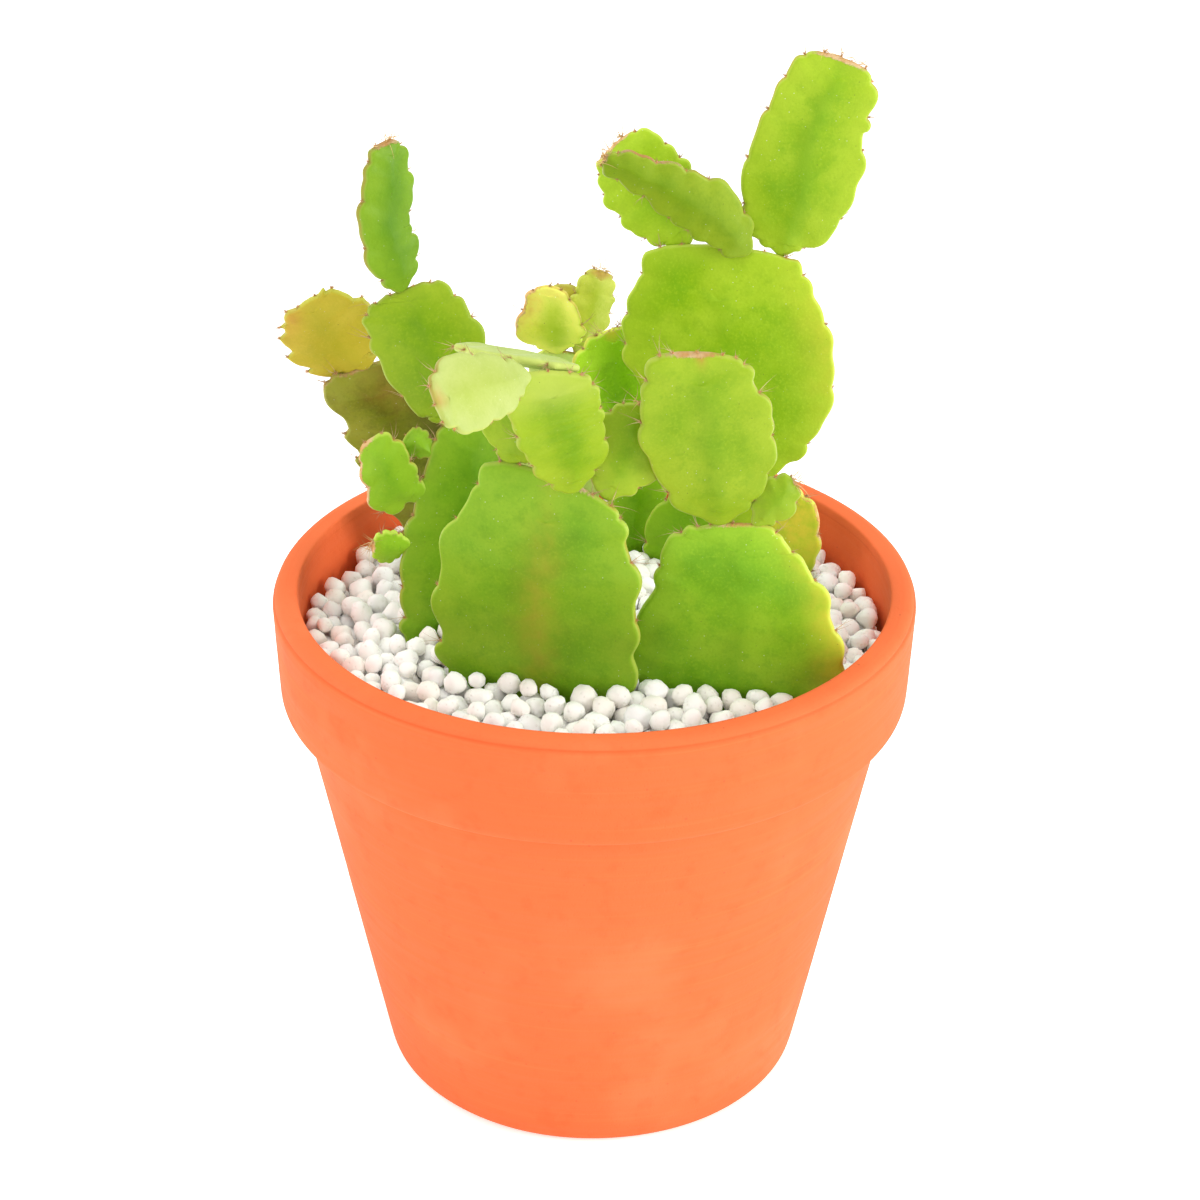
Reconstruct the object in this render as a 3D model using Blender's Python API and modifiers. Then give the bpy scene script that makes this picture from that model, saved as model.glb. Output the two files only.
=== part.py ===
"""A paddle cactus growing in a clay pot, topped with white pebbles.

Run it with: blender --background --python part.py
Lengths are in metres. The origin is the centre of the pot's underside, with +Z up and the
plant's show side facing -Y.
"""

from math import cos, pi, radians, sin

import bmesh
import bpy
from mathutils import Matrix, Vector

MM = 0.001

# Pot: radii are outer radii. The rim band tapers towards its foot and stands out from the body.
POT_HEIGHT = 88.0 * MM
RIM_RADIUS = 52.5 * MM
BASE_RADIUS = 35.8 * MM
BAND_HEIGHT = 18.4 * MM
BAND_TAPER = 0.7 * MM
BAND_STEP = 3.0 * MM
BAND_EDGE_ROUND = 1.2 * MM
FOOT_ROUND = 2.5 * MM
LIP_ROUND = 1.8 * MM
RIM_WALL = 4.2 * MM
BODY_WALL = 4.5 * MM
INNER_STEP = 6.0 * MM
FLOOR_THICKNESS = 6.0 * MM
DRAIN_RADIUS = 6.0 * MM
POT_STEPS = 56
ARC_STEPS = 3

# Filling: the pebble top lies below the rim, and the layers keep a gap to what they touch.
PEBBLE_DROP = 8.0 * MM
PEBBLE_LAYER = 7.0 * MM
FILL_GAP = 0.3 * MM
POCKET_CLEARANCE = 0.5 * MM
POCKET_HEADROOM = 6.0 * MM

# Pads: how they root, how they meet, and how their margins run.
ROOT_IN_SOIL = 5.0 * MM
ROOT_HALF_WIDTH = 3.0 * MM
JOINT_GAP = 0.3 * MM
LOBE_BULGE = 0.15
NOTCH_LIFT = 0.2
TIP_CROWN = 0.05
NECK_ROUND = 0.3
PAD_ROWS = 16
BUD_ROWS = 8
DRAWN_BED_RADIUS = 48.04 * MM

# A pad's section: columns run from margin to margin, as shares of the half width. Fullness
# is the share of the half thickness reached there, and the rows next to the ends are thinner.
COLUMNS = (-1.0, -0.55, 0.0, 0.55, 1.0)
FULLNESS = (0.0, 0.78, 1.0, 0.78, 0.0)
END_FULLNESS = 0.8

# Colours as linear red, green, blue, and how rough each finish is.
CLAY = (0.82, 0.14, 0.045)
SOIL = (0.035, 0.022, 0.013)
PEBBLE = (0.78, 0.75, 0.71)
LEAF_GREEN = (0.25, 0.50, 0.02)
LIME_GREEN = (0.36, 0.58, 0.03)
DEEP_GREEN = (0.15, 0.37, 0.01)
PALE_GREEN = (0.55, 0.68, 0.15)
OLIVE = (0.20, 0.20, 0.02)
OCHRE = (0.48, 0.36, 0.03)
GOLD_GREEN = (0.45, 0.47, 0.05)
CLAY_ROUGHNESS = 0.85
SOIL_ROUGHNESS = 0.95
PEBBLE_ROUGHNESS = 0.9
PAD_ROUGHNESS = 0.42


def clear_scene():
    for obj in list(bpy.data.objects):
        bpy.data.objects.remove(obj, do_unlink=True)


def new_collection(name):
    collection = bpy.data.collections.new(name)
    bpy.context.scene.collection.children.link(collection)
    return collection


def material(name, colour, roughness):
    found = bpy.data.materials.get(name)
    if found:
        return found
    made = bpy.data.materials.new(name)
    made.use_nodes = True
    shader = made.node_tree.nodes["Principled BSDF"]
    shader.inputs["Base Color"].default_value = (*colour, 1.0)
    shader.inputs["Roughness"].default_value = roughness
    shader.inputs["Metallic"].default_value = 0.0
    made.diffuse_color = (*colour, 1.0)
    return made


# The pot's sizes that follow from the driving ones.
MOUTH_RADIUS = RIM_RADIUS - RIM_WALL
BAND_FOOT_RADIUS = RIM_RADIUS - BAND_TAPER
SHOULDER_RADIUS = BAND_FOOT_RADIUS - BAND_STEP
BAND_BOTTOM = POT_HEIGHT - BAND_HEIGHT
PEBBLE_TOP = POT_HEIGHT - PEBBLE_DROP
SOIL_TOP = PEBBLE_TOP - PEBBLE_LAYER


def arc(centre, radius, start, end, steps):
    """Points (radius from the axis, height) along a rounded edge, angles in degrees."""
    points = []
    for step in range(steps + 1):
        angle = radians(start + (end - start) * step / steps)
        points.append((centre[0] + radius * cos(angle), centre[1] + radius * sin(angle)))
    return points


def inner_wall():
    """The inside of the pot from the mouth down to the floor, as (radius, height)."""
    return [
        (MOUTH_RADIUS, POT_HEIGHT - LIP_ROUND),
        (BAND_FOOT_RADIUS - RIM_WALL, BAND_BOTTOM),
        (SHOULDER_RADIUS - BODY_WALL, BAND_BOTTOM - INNER_STEP),
        (BASE_RADIUS - BODY_WALL, FLOOR_THICKNESS),
    ]


def inner_radius(height):
    """The pot's inner radius at a height, read along its inner wall."""
    wall = inner_wall()
    for (upper_radius, upper), (lower_radius, lower) in zip(wall, wall[1:]):
        if height >= lower:
            share = (height - lower) / (upper - lower)
            return lower_radius + (upper_radius - lower_radius) * share
    return wall[-1][0]


# The plant fills its pot: its pads are drawn for a bed of pebbles of one radius.
GROWTH = inner_radius(PEBBLE_TOP) / DRAWN_BED_RADIUS


def turned(name, profile, collection, finish, closed):
    """A profile of (radius, height) points turned about the Z axis.

    A closed profile makes a ring, and an open one starts and ends on the axis.
    """
    mesh = bpy.data.meshes.new(name)
    edges = [(i, i + 1) for i in range(len(profile) - 1)]
    if closed:
        edges.append((len(profile) - 1, 0))
    mesh.from_pydata([(radius, 0.0, height) for radius, height in profile], edges, [])
    mesh.materials.append(finish)
    obj = bpy.data.objects.new(name, mesh)
    collection.objects.link(obj)
    screw = obj.modifiers.new("turn", "SCREW")
    screw.steps = POT_STEPS
    screw.render_steps = POT_STEPS
    screw.use_merge_vertices = True
    screw.merge_threshold = 0.00001
    screw.use_smooth_shade = True
    return obj


def make_pot(collection):
    lip = (RIM_RADIUS - LIP_ROUND, POT_HEIGHT - LIP_ROUND)
    inner_lip = (MOUTH_RADIUS + LIP_ROUND, POT_HEIGHT - LIP_ROUND)
    band_edge = (BAND_FOOT_RADIUS - BAND_EDGE_ROUND, BAND_BOTTOM + BAND_EDGE_ROUND)
    foot = (BASE_RADIUS - FOOT_ROUND, FOOT_ROUND)
    profile = arc(lip, LIP_ROUND, 90, 0, ARC_STEPS)
    profile += arc(band_edge, BAND_EDGE_ROUND, 0, -90, ARC_STEPS)
    profile.append((SHOULDER_RADIUS, BAND_BOTTOM))
    profile += arc(foot, FOOT_ROUND, 0, -90, ARC_STEPS)
    profile += [(DRAIN_RADIUS, 0.0), (DRAIN_RADIUS, FLOOR_THICKNESS)]
    profile += reversed(inner_wall())
    profile += arc(inner_lip, LIP_ROUND, 180, 90, ARC_STEPS)[1:]
    clay = material("fired_clay", CLAY, CLAY_ROUGHNESS)
    return turned("pot", profile, collection, clay, closed=True)


def layer_profile(bottom, top):
    """A disc that fills the pot between two heights, clear of the wall by the filling gap."""
    heights = [top]
    heights += [height for _, height in inner_wall() if bottom < height < top]
    heights.append(bottom)
    outer = [(inner_radius(height) - FILL_GAP, height) for height in heights]
    return [(0.0, top)] + outer + [(0.0, bottom)]


def make_fillings(collection):
    """Soil up to below the pebbles, and the bed of pebbles on it."""
    soil = layer_profile(FLOOR_THICKNESS + FILL_GAP, SOIL_TOP - FILL_GAP)
    pebbles = layer_profile(SOIL_TOP, PEBBLE_TOP)
    earth = material("potting_soil", SOIL, SOIL_ROUGHNESS)
    stone = material("white_pebble", PEBBLE, PEBBLE_ROUGHNESS)
    return [
        turned("soil", soil, collection, earth, closed=False),
        turned("pebble_bed", pebbles, collection, stone, closed=False),
    ]


# Plant. Each pad is drawn flat in its own frame: `up` runs along the midrib from the joint,
# `out` is the distance from the midrib, and both are in millimetres. A margin is the list of
# its notches, the last one being the corner of the blunt tip, and between two notches the
# margin bulges out as a lobe. A rooted pad's margins start at the pebbles, at up = 0.
# Angles are in degrees: `turn` about the vertical, `lean` away from the front, and `tilt`
# in the pad's own plane, towards the right. A pad seated in a notch stands a share of the
# neighbouring lobes' bulge off it.


def rooted(name, spot, angles, thick, left, right, finish, **shape):
    """A pad that comes up through the pebbles at a spot (x, y) in millimetres."""
    return dict(
        name=name, spot=spot, angles=angles, thick=thick, left=left, right=right,
        finish=finish, joint=None, **shape,
    )


def grown(name, parent, seat, angles, thick, joint, left, right, finish, **shape):
    """A pad that grows from a place on its parent's margin.

    The seat is ("tip", share of the half tip, step towards the back in mm) or
    ("left" or "right", number of the notch, step). The joint is half the width of its neck.
    """
    return dict(
        name=name, parent=parent, seat=seat, angles=angles, thick=thick, joint=joint,
        left=left, right=right, finish=finish, **shape,
    )


FINISHES = {
    "leaf": ("leaf_green_pad", LEAF_GREEN),
    "lime": ("lime_green_pad", LIME_GREEN),
    "deep": ("deep_green_pad", DEEP_GREEN),
    "pale": ("pale_green_pad", PALE_GREEN),
    "olive": ("olive_old_stem", OLIVE),
    "ochre": ("ochre_pad", OCHRE),
    "gold": ("gold_green_pad", GOLD_GREEN),
}

PADS = [
    rooted(
        "front_left_pad", (-9, -21), (-14, -3, 5), 3.8,
        [(0, 15), (7.5, 15.5), (19.5, 16), (32, 12), (39.5, 8.5)],
        [(0, 14.5), (9.5, 14), (19.5, 14), (29.5, 11.5), (35.5, 9.5)],
        "leaf", cup=1.0,
    ),
    grown(
        "front_left_rear_pad", "front_left_pad", ("tip", -0.4, 1.0), (-5, -1, -9), 2.6, 2.0,
        [(2.2, 4.8), (5.5, 6.0), (9.5, 6.0), (12.5, 4.8), (14.5, 2.2)],
        [(6, 4.5), (11, 4.8), (14.5, 2.5)],
        "lime",
    ),
    grown(
        "front_left_upper_pad", "front_left_pad", ("tip", 0.35, -1.2), (22, -17, -18), 2.8, 2.0,
        [(5, 3.5), (12, 5), (19, 5.5), (27, 3.5)],
        [(4, 5), (12, 6), (17.5, 6.5), (22.5, 5.5)],
        "lime", cup=0.8,
    ),
    grown(
        "front_left_side_pad", "front_left_pad", ("tip", 0.9, 1.2), (5, 12, 15), 2.6, 1.8,
        [(5, 4), (10, 4), (14.5, 1.5)],
        [(4.5, 5.5), (9, 6), (12.5, 4), (15.3, 1.8)],
        "lime",
    ),
    grown(
        "front_drooping_pad", "front_left_upper_pad", ("tip", -0.7, -0.8), (46, 30, -84), 2.4, 1.4,
        [(6, 3.6), (13, 4.8), (18, 3.2)],
        [(6, 3.6), (13, 4.8), (18.6, 2)],
        "pale", bow=-1.5,
    ),
    grown(
        "front_level_pad", "front_left_upper_pad", ("tip", 0.95, 1.3), (-24, 112, -92), 2.2, 1.2,
        [(6, 3.5), (12, 3.8), (18.5, 2)],
        [(6, 3.5), (12, 3.8), (18.5, 1.5)],
        "pale",
    ),
    rooted(
        "front_right_pad", (22.4, -21), (-5, -2, -2), 3.8,
        [(0, 16.2), (18, 11.4), (26, 9.7), (29, 5.5)],
        [(0, 16), (5, 16), (14, 14.3), (22.5, 10.3), (26.6, 7), (29.3, 5.4)],
        "leaf", cup=1.0,
    ),
    grown(
        "front_right_upper_pad", "front_right_pad", ("tip", -0.35, 0), (8, -9, -6), 3.4, 2.4,
        [(14.5, 9.6), (25, 9.9), (32, 7.5)],
        [(6, 6.3), (13, 8.2), (18.5, 7.8), (25, 5.6), (29.5, 3.8)],
        "lime", cup=0.8,
    ),
    grown(
        "front_right_bud", "front_right_pad", ("tip", 0.62, 0), (10, 10, 46), 2.4, 1.0,
        [(4.5, 3.6), (8.8, 1.2)],
        [(4, 2.6), (8.4, 0.8)],
        "lime", rows=BUD_ROWS,
    ),
    rooted(
        "tall_root_pad", (25.7, 17), (-12, -4, 4), 3.8,
        [(0, 16.5), (8.5, 16.5), (16.5, 9.5)],
        [(0, 10), (6, 10.7), (15, 10), (18.6, 6)],
        "deep", cup=0.8,
    ),
    grown(
        "tall_middle_pad", "tall_root_pad", ("tip", 0.3, 0), (-3, 4, -10), 4.0, 4.5,
        [(11, 12), (22, 17), (30, 17.4), (36, 14.4), (42.5, 10)],
        [(9.5, 11.6), (20.5, 14.2), (30.5, 12.5), (37.7, 10)],
        "lime", cup=1.2,
    ),
    grown(
        "tall_right_tip_pad", "tall_middle_pad", ("tip", 0.9, 1.0), (0, -3, 15), 3.2, 1.6,
        [(1.8, 5.4), (4.5, 7.2), (9, 8.6), (20, 9.2), (26, 8.4), (31.5, 7.2), (34, 5)],
        [(5, 6.2), (14.5, 7.3), (23, 5.8), (27, 5.9), (33.3, 3.4)],
        "lime", cup=0.8,
    ),
    grown(
        "tall_twisted_pad", "tall_middle_pad", ("tip", 0.42, -0.8), (14, 6, -55), 2.6, 1.6,
        [(7, 1.8), (12, 2.2), (18, 1.2), (23, 1.2), (28.5, 1)],
        [(8.5, 6), (15, 5.8), (20, 4.6), (24.5, 3.2), (29, 1.2)],
        "lime", twist=-30,
    ),
    grown(
        "tall_left_tip_pad", "tall_middle_pad", ("tip", -0.55, 0.8), (-10, 14, -40), 2.8, 1.6,
        [(3, 4.4), (7, 5.6), (11, 6.2), (15.5, 5.7), (19, 2.8)],
        [(3.5, 4.5), (8.5, 6.5), (13, 6.8), (17, 5.3), (19.5, 2.5)],
        "lime",
    ),
    rooted(
        "centre_root_pad", (6, 24), (15, 0, 5), 3.0,
        [(0, 3.5), (8, 4), (13.5, 4.5), (16.3, 2.5)],
        [(0, 3.5), (6, 3.2), (11, 4.5), (14, 4.3), (16.5, 2)],
        "deep",
    ),
    grown(
        "centre_upper_pad", "centre_root_pad", ("tip", 0, 0), (20, 0, -10), 3.0, 1.8,
        [(9, 6), (17, 7.8), (22, 7.4), (26, 3)],
        [(6, 3.8), (15.5, 4.3), (19, 4.5), (22.5, 4.3), (26.3, 1.5)],
        "deep", cup=0.6,
    ),
    rooted(
        "left_root_pad", (-27.6, -5), (20, 7, 13), 3.6,
        [(0, 3), (4.8, 4), (15.5, 5), (23, 4.8), (30.7, 3.6), (35.8, 3)],
        [(0, 4), (4, 7), (11, 9.5), (21, 9.3), (31, 7.5), (36.8, 4.5)],
        "leaf", cup=0.6,
    ),
    grown(
        "left_round_bud", "left_root_pad", ("left", 4, 0), (0, 20, -55), 2.4, 0.8,
        [(3.4, 2.3), (5, 1.1)],
        [(3.4, 2.3), (5, 1.1)],
        "leaf", rows=BUD_ROWS,
    ),
    grown(
        "left_side_pad", "left_root_pad", ("left", 3, 0), (10, -4, -33), 2.4, 1.8,
        [(1.2, 6.0), (5, 5.6), (9.5, 3.8), (13.4, 1.8)],
        [(4, 1.8), (9, 2.8), (13.4, 2.0)],
        "leaf", rows=12,
    ),
    grown(
        "left_low_bud", "left_root_pad", ("left", 2, 0), (10, -15, -84), 2.2, 1.4,
        [(3.2, 3.8), (5.6, 1.8)],
        [(3, 2.8), (5.6, 1.4)],
        "leaf", rows=BUD_ROWS,
    ),
    grown(
        "left_upper_pad", "left_root_pad", ("tip", -0.8, 0), (10, 8, -14), 3.2, 1.6,
        [(3, 3.5), (13.7, 6.6), (19, 7.7), (21.5, 6.5), (22.3, 3)],
        [(5, 6), (10.5, 8.4), (18, 7.4), (22, 4.7), (23, 1.2)],
        "lime", cup=0.6,
    ),
    grown(
        "left_tip_pad", "left_upper_pad", ("tip", 0, 0), (40, 0, -7), 2.8, 1.6,
        [(5, 4.3), (13, 4.9), (19.5, 2.8), (24, 0.5)],
        [(7.5, 3.4), (10, 2.5), (15.5, 4), (20, 4.2), (24, 3)],
        "leaf", bow=1.0,
    ),
    rooted(
        "old_stem_pad", (-25.5, 24), (15, -9, -24), 5.0,
        [(0, 2.5), (12, 3.5), (20, 5), (24, 4.6), (28.5, 3.8), (35, 3.4), (42.5, 3.2)],
        [(0, 5), (14, 6.5), (25, 9), (35, 8.5), (41.5, 6.5)],
        "olive",
    ),
    grown(
        "ochre_pad", "old_stem_pad", ("tip", 0.45, 0), (5, -12, -42), 3.0, 2.2,
        [(2.5, 5), (7, 7.3), (11, 6.5), (14, 4.5), (15.5, 2.5)],
        [(2.5, 5.2), (8, 7.6), (12.5, 6.2), (15.5, 3)],
        "ochre",
    ),
    rooted(
        "back_root_pad", (-6, 28), (0, 4, 0), 3.2,
        [(0, 4), (12, 5.5), (24, 5.8), (32, 4.8), (35.5, 3.2)],
        [(0, 4), (12, 6), (24, 6), (31, 4.8), (35, 3)],
        "pale",
    ),
    grown(
        "back_curled_pad", "back_root_pad", ("tip", -0.1, -1.0), (-10, -9, -9), 2.2, 1.4,
        [(2, 4.6), (5.5, 5), (10.5, 3), (12.5, 0.8)],
        [(2.5, 4.8), (8.5, 4.7), (12.2, 3)],
        "gold", cup=2.5, rows=12,
    ),
    grown(
        "back_tip_pad", "back_root_pad", ("tip", 1.0, 0), (30, 5, 19), 2.4, 1.0,
        [(4.5, 2.6), (9, 3.6), (11, 3), (14.2, 1.8)],
        [(4, 2.7), (9, 3.7), (11, 3.3), (14, 2)],
        "gold", rows=12,
    ),
    grown(
        "back_flap_pad", "back_root_pad", ("tip", 0.2, 1.2), (0, 12, 0), 2.2, 1.0,
        [(4, 2.6), (8, 2.8), (10.5, 1.6)],
        [(4, 2.6), (8, 2.8), (10.5, 1.6)],
        "gold", rows=BUD_ROWS,
    ),
]


def lobed_side(notches, rows, straight_first):
    """A margin as rows + 1 points: its notches, joined by arcs that bulge outwards."""
    spans = len(notches) - 1
    points = [Vector(notches[0])]
    for index in range(spans):
        start, end = Vector(notches[index]), Vector(notches[index + 1])
        steps = rows // spans + (index < rows % spans)
        chord = end - start
        outward = Vector((-chord.y, chord.x))
        bulge = 0.0 if straight_first and index == 0 else LOBE_BULGE
        for step in range(1, steps + 1):
            share = step / steps
            points.append(start + chord * share + outward * (bulge * sin(pi * share)))
    return points


def pad_margins(pad):
    """Both margins as rows of (up, out) points in metres, grown to the size of the bed."""
    sides = []
    for side in ("left", "right"):
        notches = [(up * MM * GROWTH, out * MM * GROWTH) for up, out in pad[side]]
        if pad["joint"] is None:
            neck = ROOT_HALF_WIDTH * GROWTH
            notches.insert(0, (2 * NECK_ROUND * neck - PEBBLE_LAYER - ROOT_IN_SOIL, neck))
        else:
            neck = pad["joint"] * MM * GROWTH
            notches.insert(0, (2 * NECK_ROUND * neck, neck))
        rows = pad.get("rows", PAD_ROWS)
        sides.append(lobed_side(notches, rows, pad["joint"] is None))
    return sides


def pad_point(pad, up, across, raised):
    """A point of the pad in its own frame, after its cup, bow and twist."""
    length = max(pad["left"][-1][0], pad["right"][-1][0]) * MM * GROWTH
    half = max(out for _, out in pad["left"] + pad["right"]) * MM * GROWTH
    rise = min(max(up / length, 0.0), 1.0)
    back = raised
    back -= pad.get("cup", 0.0) * MM * rise * (across / half) ** 2
    back += pad.get("bow", 0.0) * MM * rise * rise
    angle = radians(pad.get("twist", 0.0)) * rise
    return Vector((
        across * cos(angle) - back * sin(angle),
        across * sin(angle) + back * cos(angle),
        up,
    ))


def pad_frame(pad, frames):
    """The pad's place and directions in the world."""
    turn, lean, tilt = (radians(angle) for angle in pad["angles"])
    directions = (
        Matrix.Rotation(turn, 4, "Z")
        @ Matrix.Rotation(-lean, 4, "X")
        @ Matrix.Rotation(tilt, 4, "Y")
    )
    if pad["joint"] is None:
        x, y = pad["spot"]
        seat = Vector((x * MM * GROWTH, y * MM * GROWTH, PEBBLE_TOP))
        return Matrix.Translation(seat) @ directions
    parent, parent_frame = frames[pad["parent"]]
    edge, place, step = pad["seat"]
    if edge == "tip":
        left, right = Vector(parent["left"][-1]), Vector(parent["right"][-1])
        share = (place + 1) / 2
        up = left.x + (right.x - left.x) * share
        up += TIP_CROWN * (left.y + right.y) * (1 - place * place)
        across = -left.y + (right.y + left.y) * share
        lift = 0.0
    else:
        up, out = parent[edge][place]
        across = -out if edge == "left" else out
        lobes = Vector(parent[edge][place + 1]) - Vector(parent[edge][place - 1])
        lift = NOTCH_LIFT * LOBE_BULGE * lobes.length / 2
    scale = MM * GROWTH
    on_margin = pad_point(parent, up * scale, across * scale, step * MM)
    seat = parent_frame @ on_margin + directions @ Vector((0, 0, JOINT_GAP + lift * scale))
    return Matrix.Translation(seat) @ directions


def make_pad(pad, frame, collection):
    """A closed lens between the two margins, thickest along the midrib."""
    left_side, right_side = pad_margins(pad)
    rows = len(left_side)
    half_thick = pad["thick"] * MM / 2
    mesh = bmesh.new()
    fronts, backs = [], []
    for row in range(rows):
        left = Vector((left_side[row].x, -left_side[row].y))
        right = Vector((right_side[row].x, right_side[row].y))
        at_end = row in (0, rows - 1)
        next_to_end = row in (1, rows - 2)
        round_out = {0: -NECK_ROUND, rows - 1: TIP_CROWN}.get(row, 0.0)
        crown = round_out * (right.y - left.y)
        front_row, back_row = [], []
        for column, fullness in zip(COLUMNS, FULLNESS):
            share = (column + 1) / 2
            flat = left.lerp(right, share)
            up = flat.x + crown * (1 - column * column)
            swell = 0.0 if at_end else half_thick * fullness * (END_FULLNESS if next_to_end else 1.0)
            front = mesh.verts.new(pad_point(pad, up, flat.y, -swell))
            back = mesh.verts.new(pad_point(pad, up, flat.y, swell)) if swell else front
            front_row.append(front)
            back_row.append(back)
        fronts.append(front_row)
        backs.append(back_row)
    for row in range(rows - 1):
        for column in range(len(COLUMNS) - 1):
            for grid, flip in ((fronts, False), (backs, True)):
                corners = [
                    grid[row][column], grid[row][column + 1],
                    grid[row + 1][column + 1], grid[row + 1][column],
                ]
                mesh.faces.new(reversed(corners) if flip else corners)
    data = bpy.data.meshes.new(pad["name"])
    mesh.to_mesh(data)
    mesh.free()
    data.shade_smooth()
    name, colour = FINISHES[pad["finish"]]
    data.materials.append(material(name, colour, PAD_ROUGHNESS))
    obj = bpy.data.objects.new(pad["name"], data)
    obj.matrix_world = frame
    collection.objects.link(obj)
    return obj


def make_pocket(pad, frame, cutters):
    """A box cutter that clears the way of a rooted pad through pebbles and soil."""
    widths = [ROOT_HALF_WIDTH * GROWTH]
    widths += [out * MM * GROWTH for up, out in pad["left"][:2] + pad["right"][:2]]
    half_width = max(widths) + POCKET_CLEARANCE
    half_depth = pad["thick"] * MM / 2 + POCKET_CLEARANCE
    bottom = -(PEBBLE_LAYER + ROOT_IN_SOIL) - POCKET_CLEARANCE
    mesh = bmesh.new()
    bmesh.ops.create_cube(mesh, size=1.0)
    size = Vector((2 * half_width, 2 * half_depth, POCKET_HEADROOM - bottom))
    middle = Vector((0.0, 0.0, (POCKET_HEADROOM + bottom) / 2))
    bmesh.ops.scale(mesh, vec=size, verts=mesh.verts)
    bmesh.ops.translate(mesh, vec=middle, verts=mesh.verts)
    data = bpy.data.meshes.new(pad["name"] + "_pocket")
    mesh.to_mesh(data)
    mesh.free()
    cutter = bpy.data.objects.new(data.name, data)
    cutter.matrix_world = frame
    cutter.hide_render = True
    cutter.display_type = "WIRE"
    cutters.objects.link(cutter)
    return cutter


def cut(obj, cutter):
    boolean = obj.modifiers.new(cutter.name, "BOOLEAN")
    boolean.operation = "DIFFERENCE"
    boolean.solver = "EXACT"
    boolean.object = cutter


def main():
    clear_scene()
    parts = new_collection("potted_paddle_cactus")
    cutters = new_collection("cutters")
    cutters.hide_render = True
    make_pot(parts)
    fillings = make_fillings(parts)
    frames = {}
    for pad in PADS:
        frame = pad_frame(pad, frames)
        frames[pad["name"]] = (pad, frame)
        make_pad(pad, frame, parts)
        if pad["joint"] is None:
            cutter = make_pocket(pad, frame, cutters)
            for filling in fillings:
                cut(filling, cutter)


main()
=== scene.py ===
"""The looks of a paddle cactus in a clay pot: turned clay, settled pebbles, and waxy pads.

Lengths are in metres. The frame's solids give every size and place, and each piece made here
stands for one of them or lies on one of them.
"""

import itertools
import math

import bmesh
import bpy
import numpy as np
from mathutils import Matrix, Vector, noise
from mathutils.bvhtree import BVHTree


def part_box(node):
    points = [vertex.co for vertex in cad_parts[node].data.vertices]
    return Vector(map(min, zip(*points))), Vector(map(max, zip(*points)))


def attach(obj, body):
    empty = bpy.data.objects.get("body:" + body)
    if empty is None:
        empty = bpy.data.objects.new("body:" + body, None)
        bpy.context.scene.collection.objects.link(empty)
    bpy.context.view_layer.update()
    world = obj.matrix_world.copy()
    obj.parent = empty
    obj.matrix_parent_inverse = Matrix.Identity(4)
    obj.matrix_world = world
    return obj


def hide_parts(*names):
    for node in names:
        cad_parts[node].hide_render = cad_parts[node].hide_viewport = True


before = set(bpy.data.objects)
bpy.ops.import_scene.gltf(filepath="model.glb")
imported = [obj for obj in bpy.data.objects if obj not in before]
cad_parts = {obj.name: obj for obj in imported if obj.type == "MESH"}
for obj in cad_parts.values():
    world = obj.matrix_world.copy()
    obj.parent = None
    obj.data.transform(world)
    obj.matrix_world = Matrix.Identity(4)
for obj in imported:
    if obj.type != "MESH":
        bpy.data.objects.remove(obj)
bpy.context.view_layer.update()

bl_info = {
    "name": "Potted Paddle Cactus",
    "version": (1, 0, 0),
    "blender": (4, 5, 0),
    "location": "3D View > Sidebar > Cactus",
    "description": "Makes the clay, pebbles, pads, wool and spines of a potted paddle cactus",
    "category": "Add Mesh",
}

MM = 0.001
BODY = "root"
SHOW_SIDE = Vector((0.0, -0.88, 0.47))
MERGE = 0.002 * MM

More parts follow.
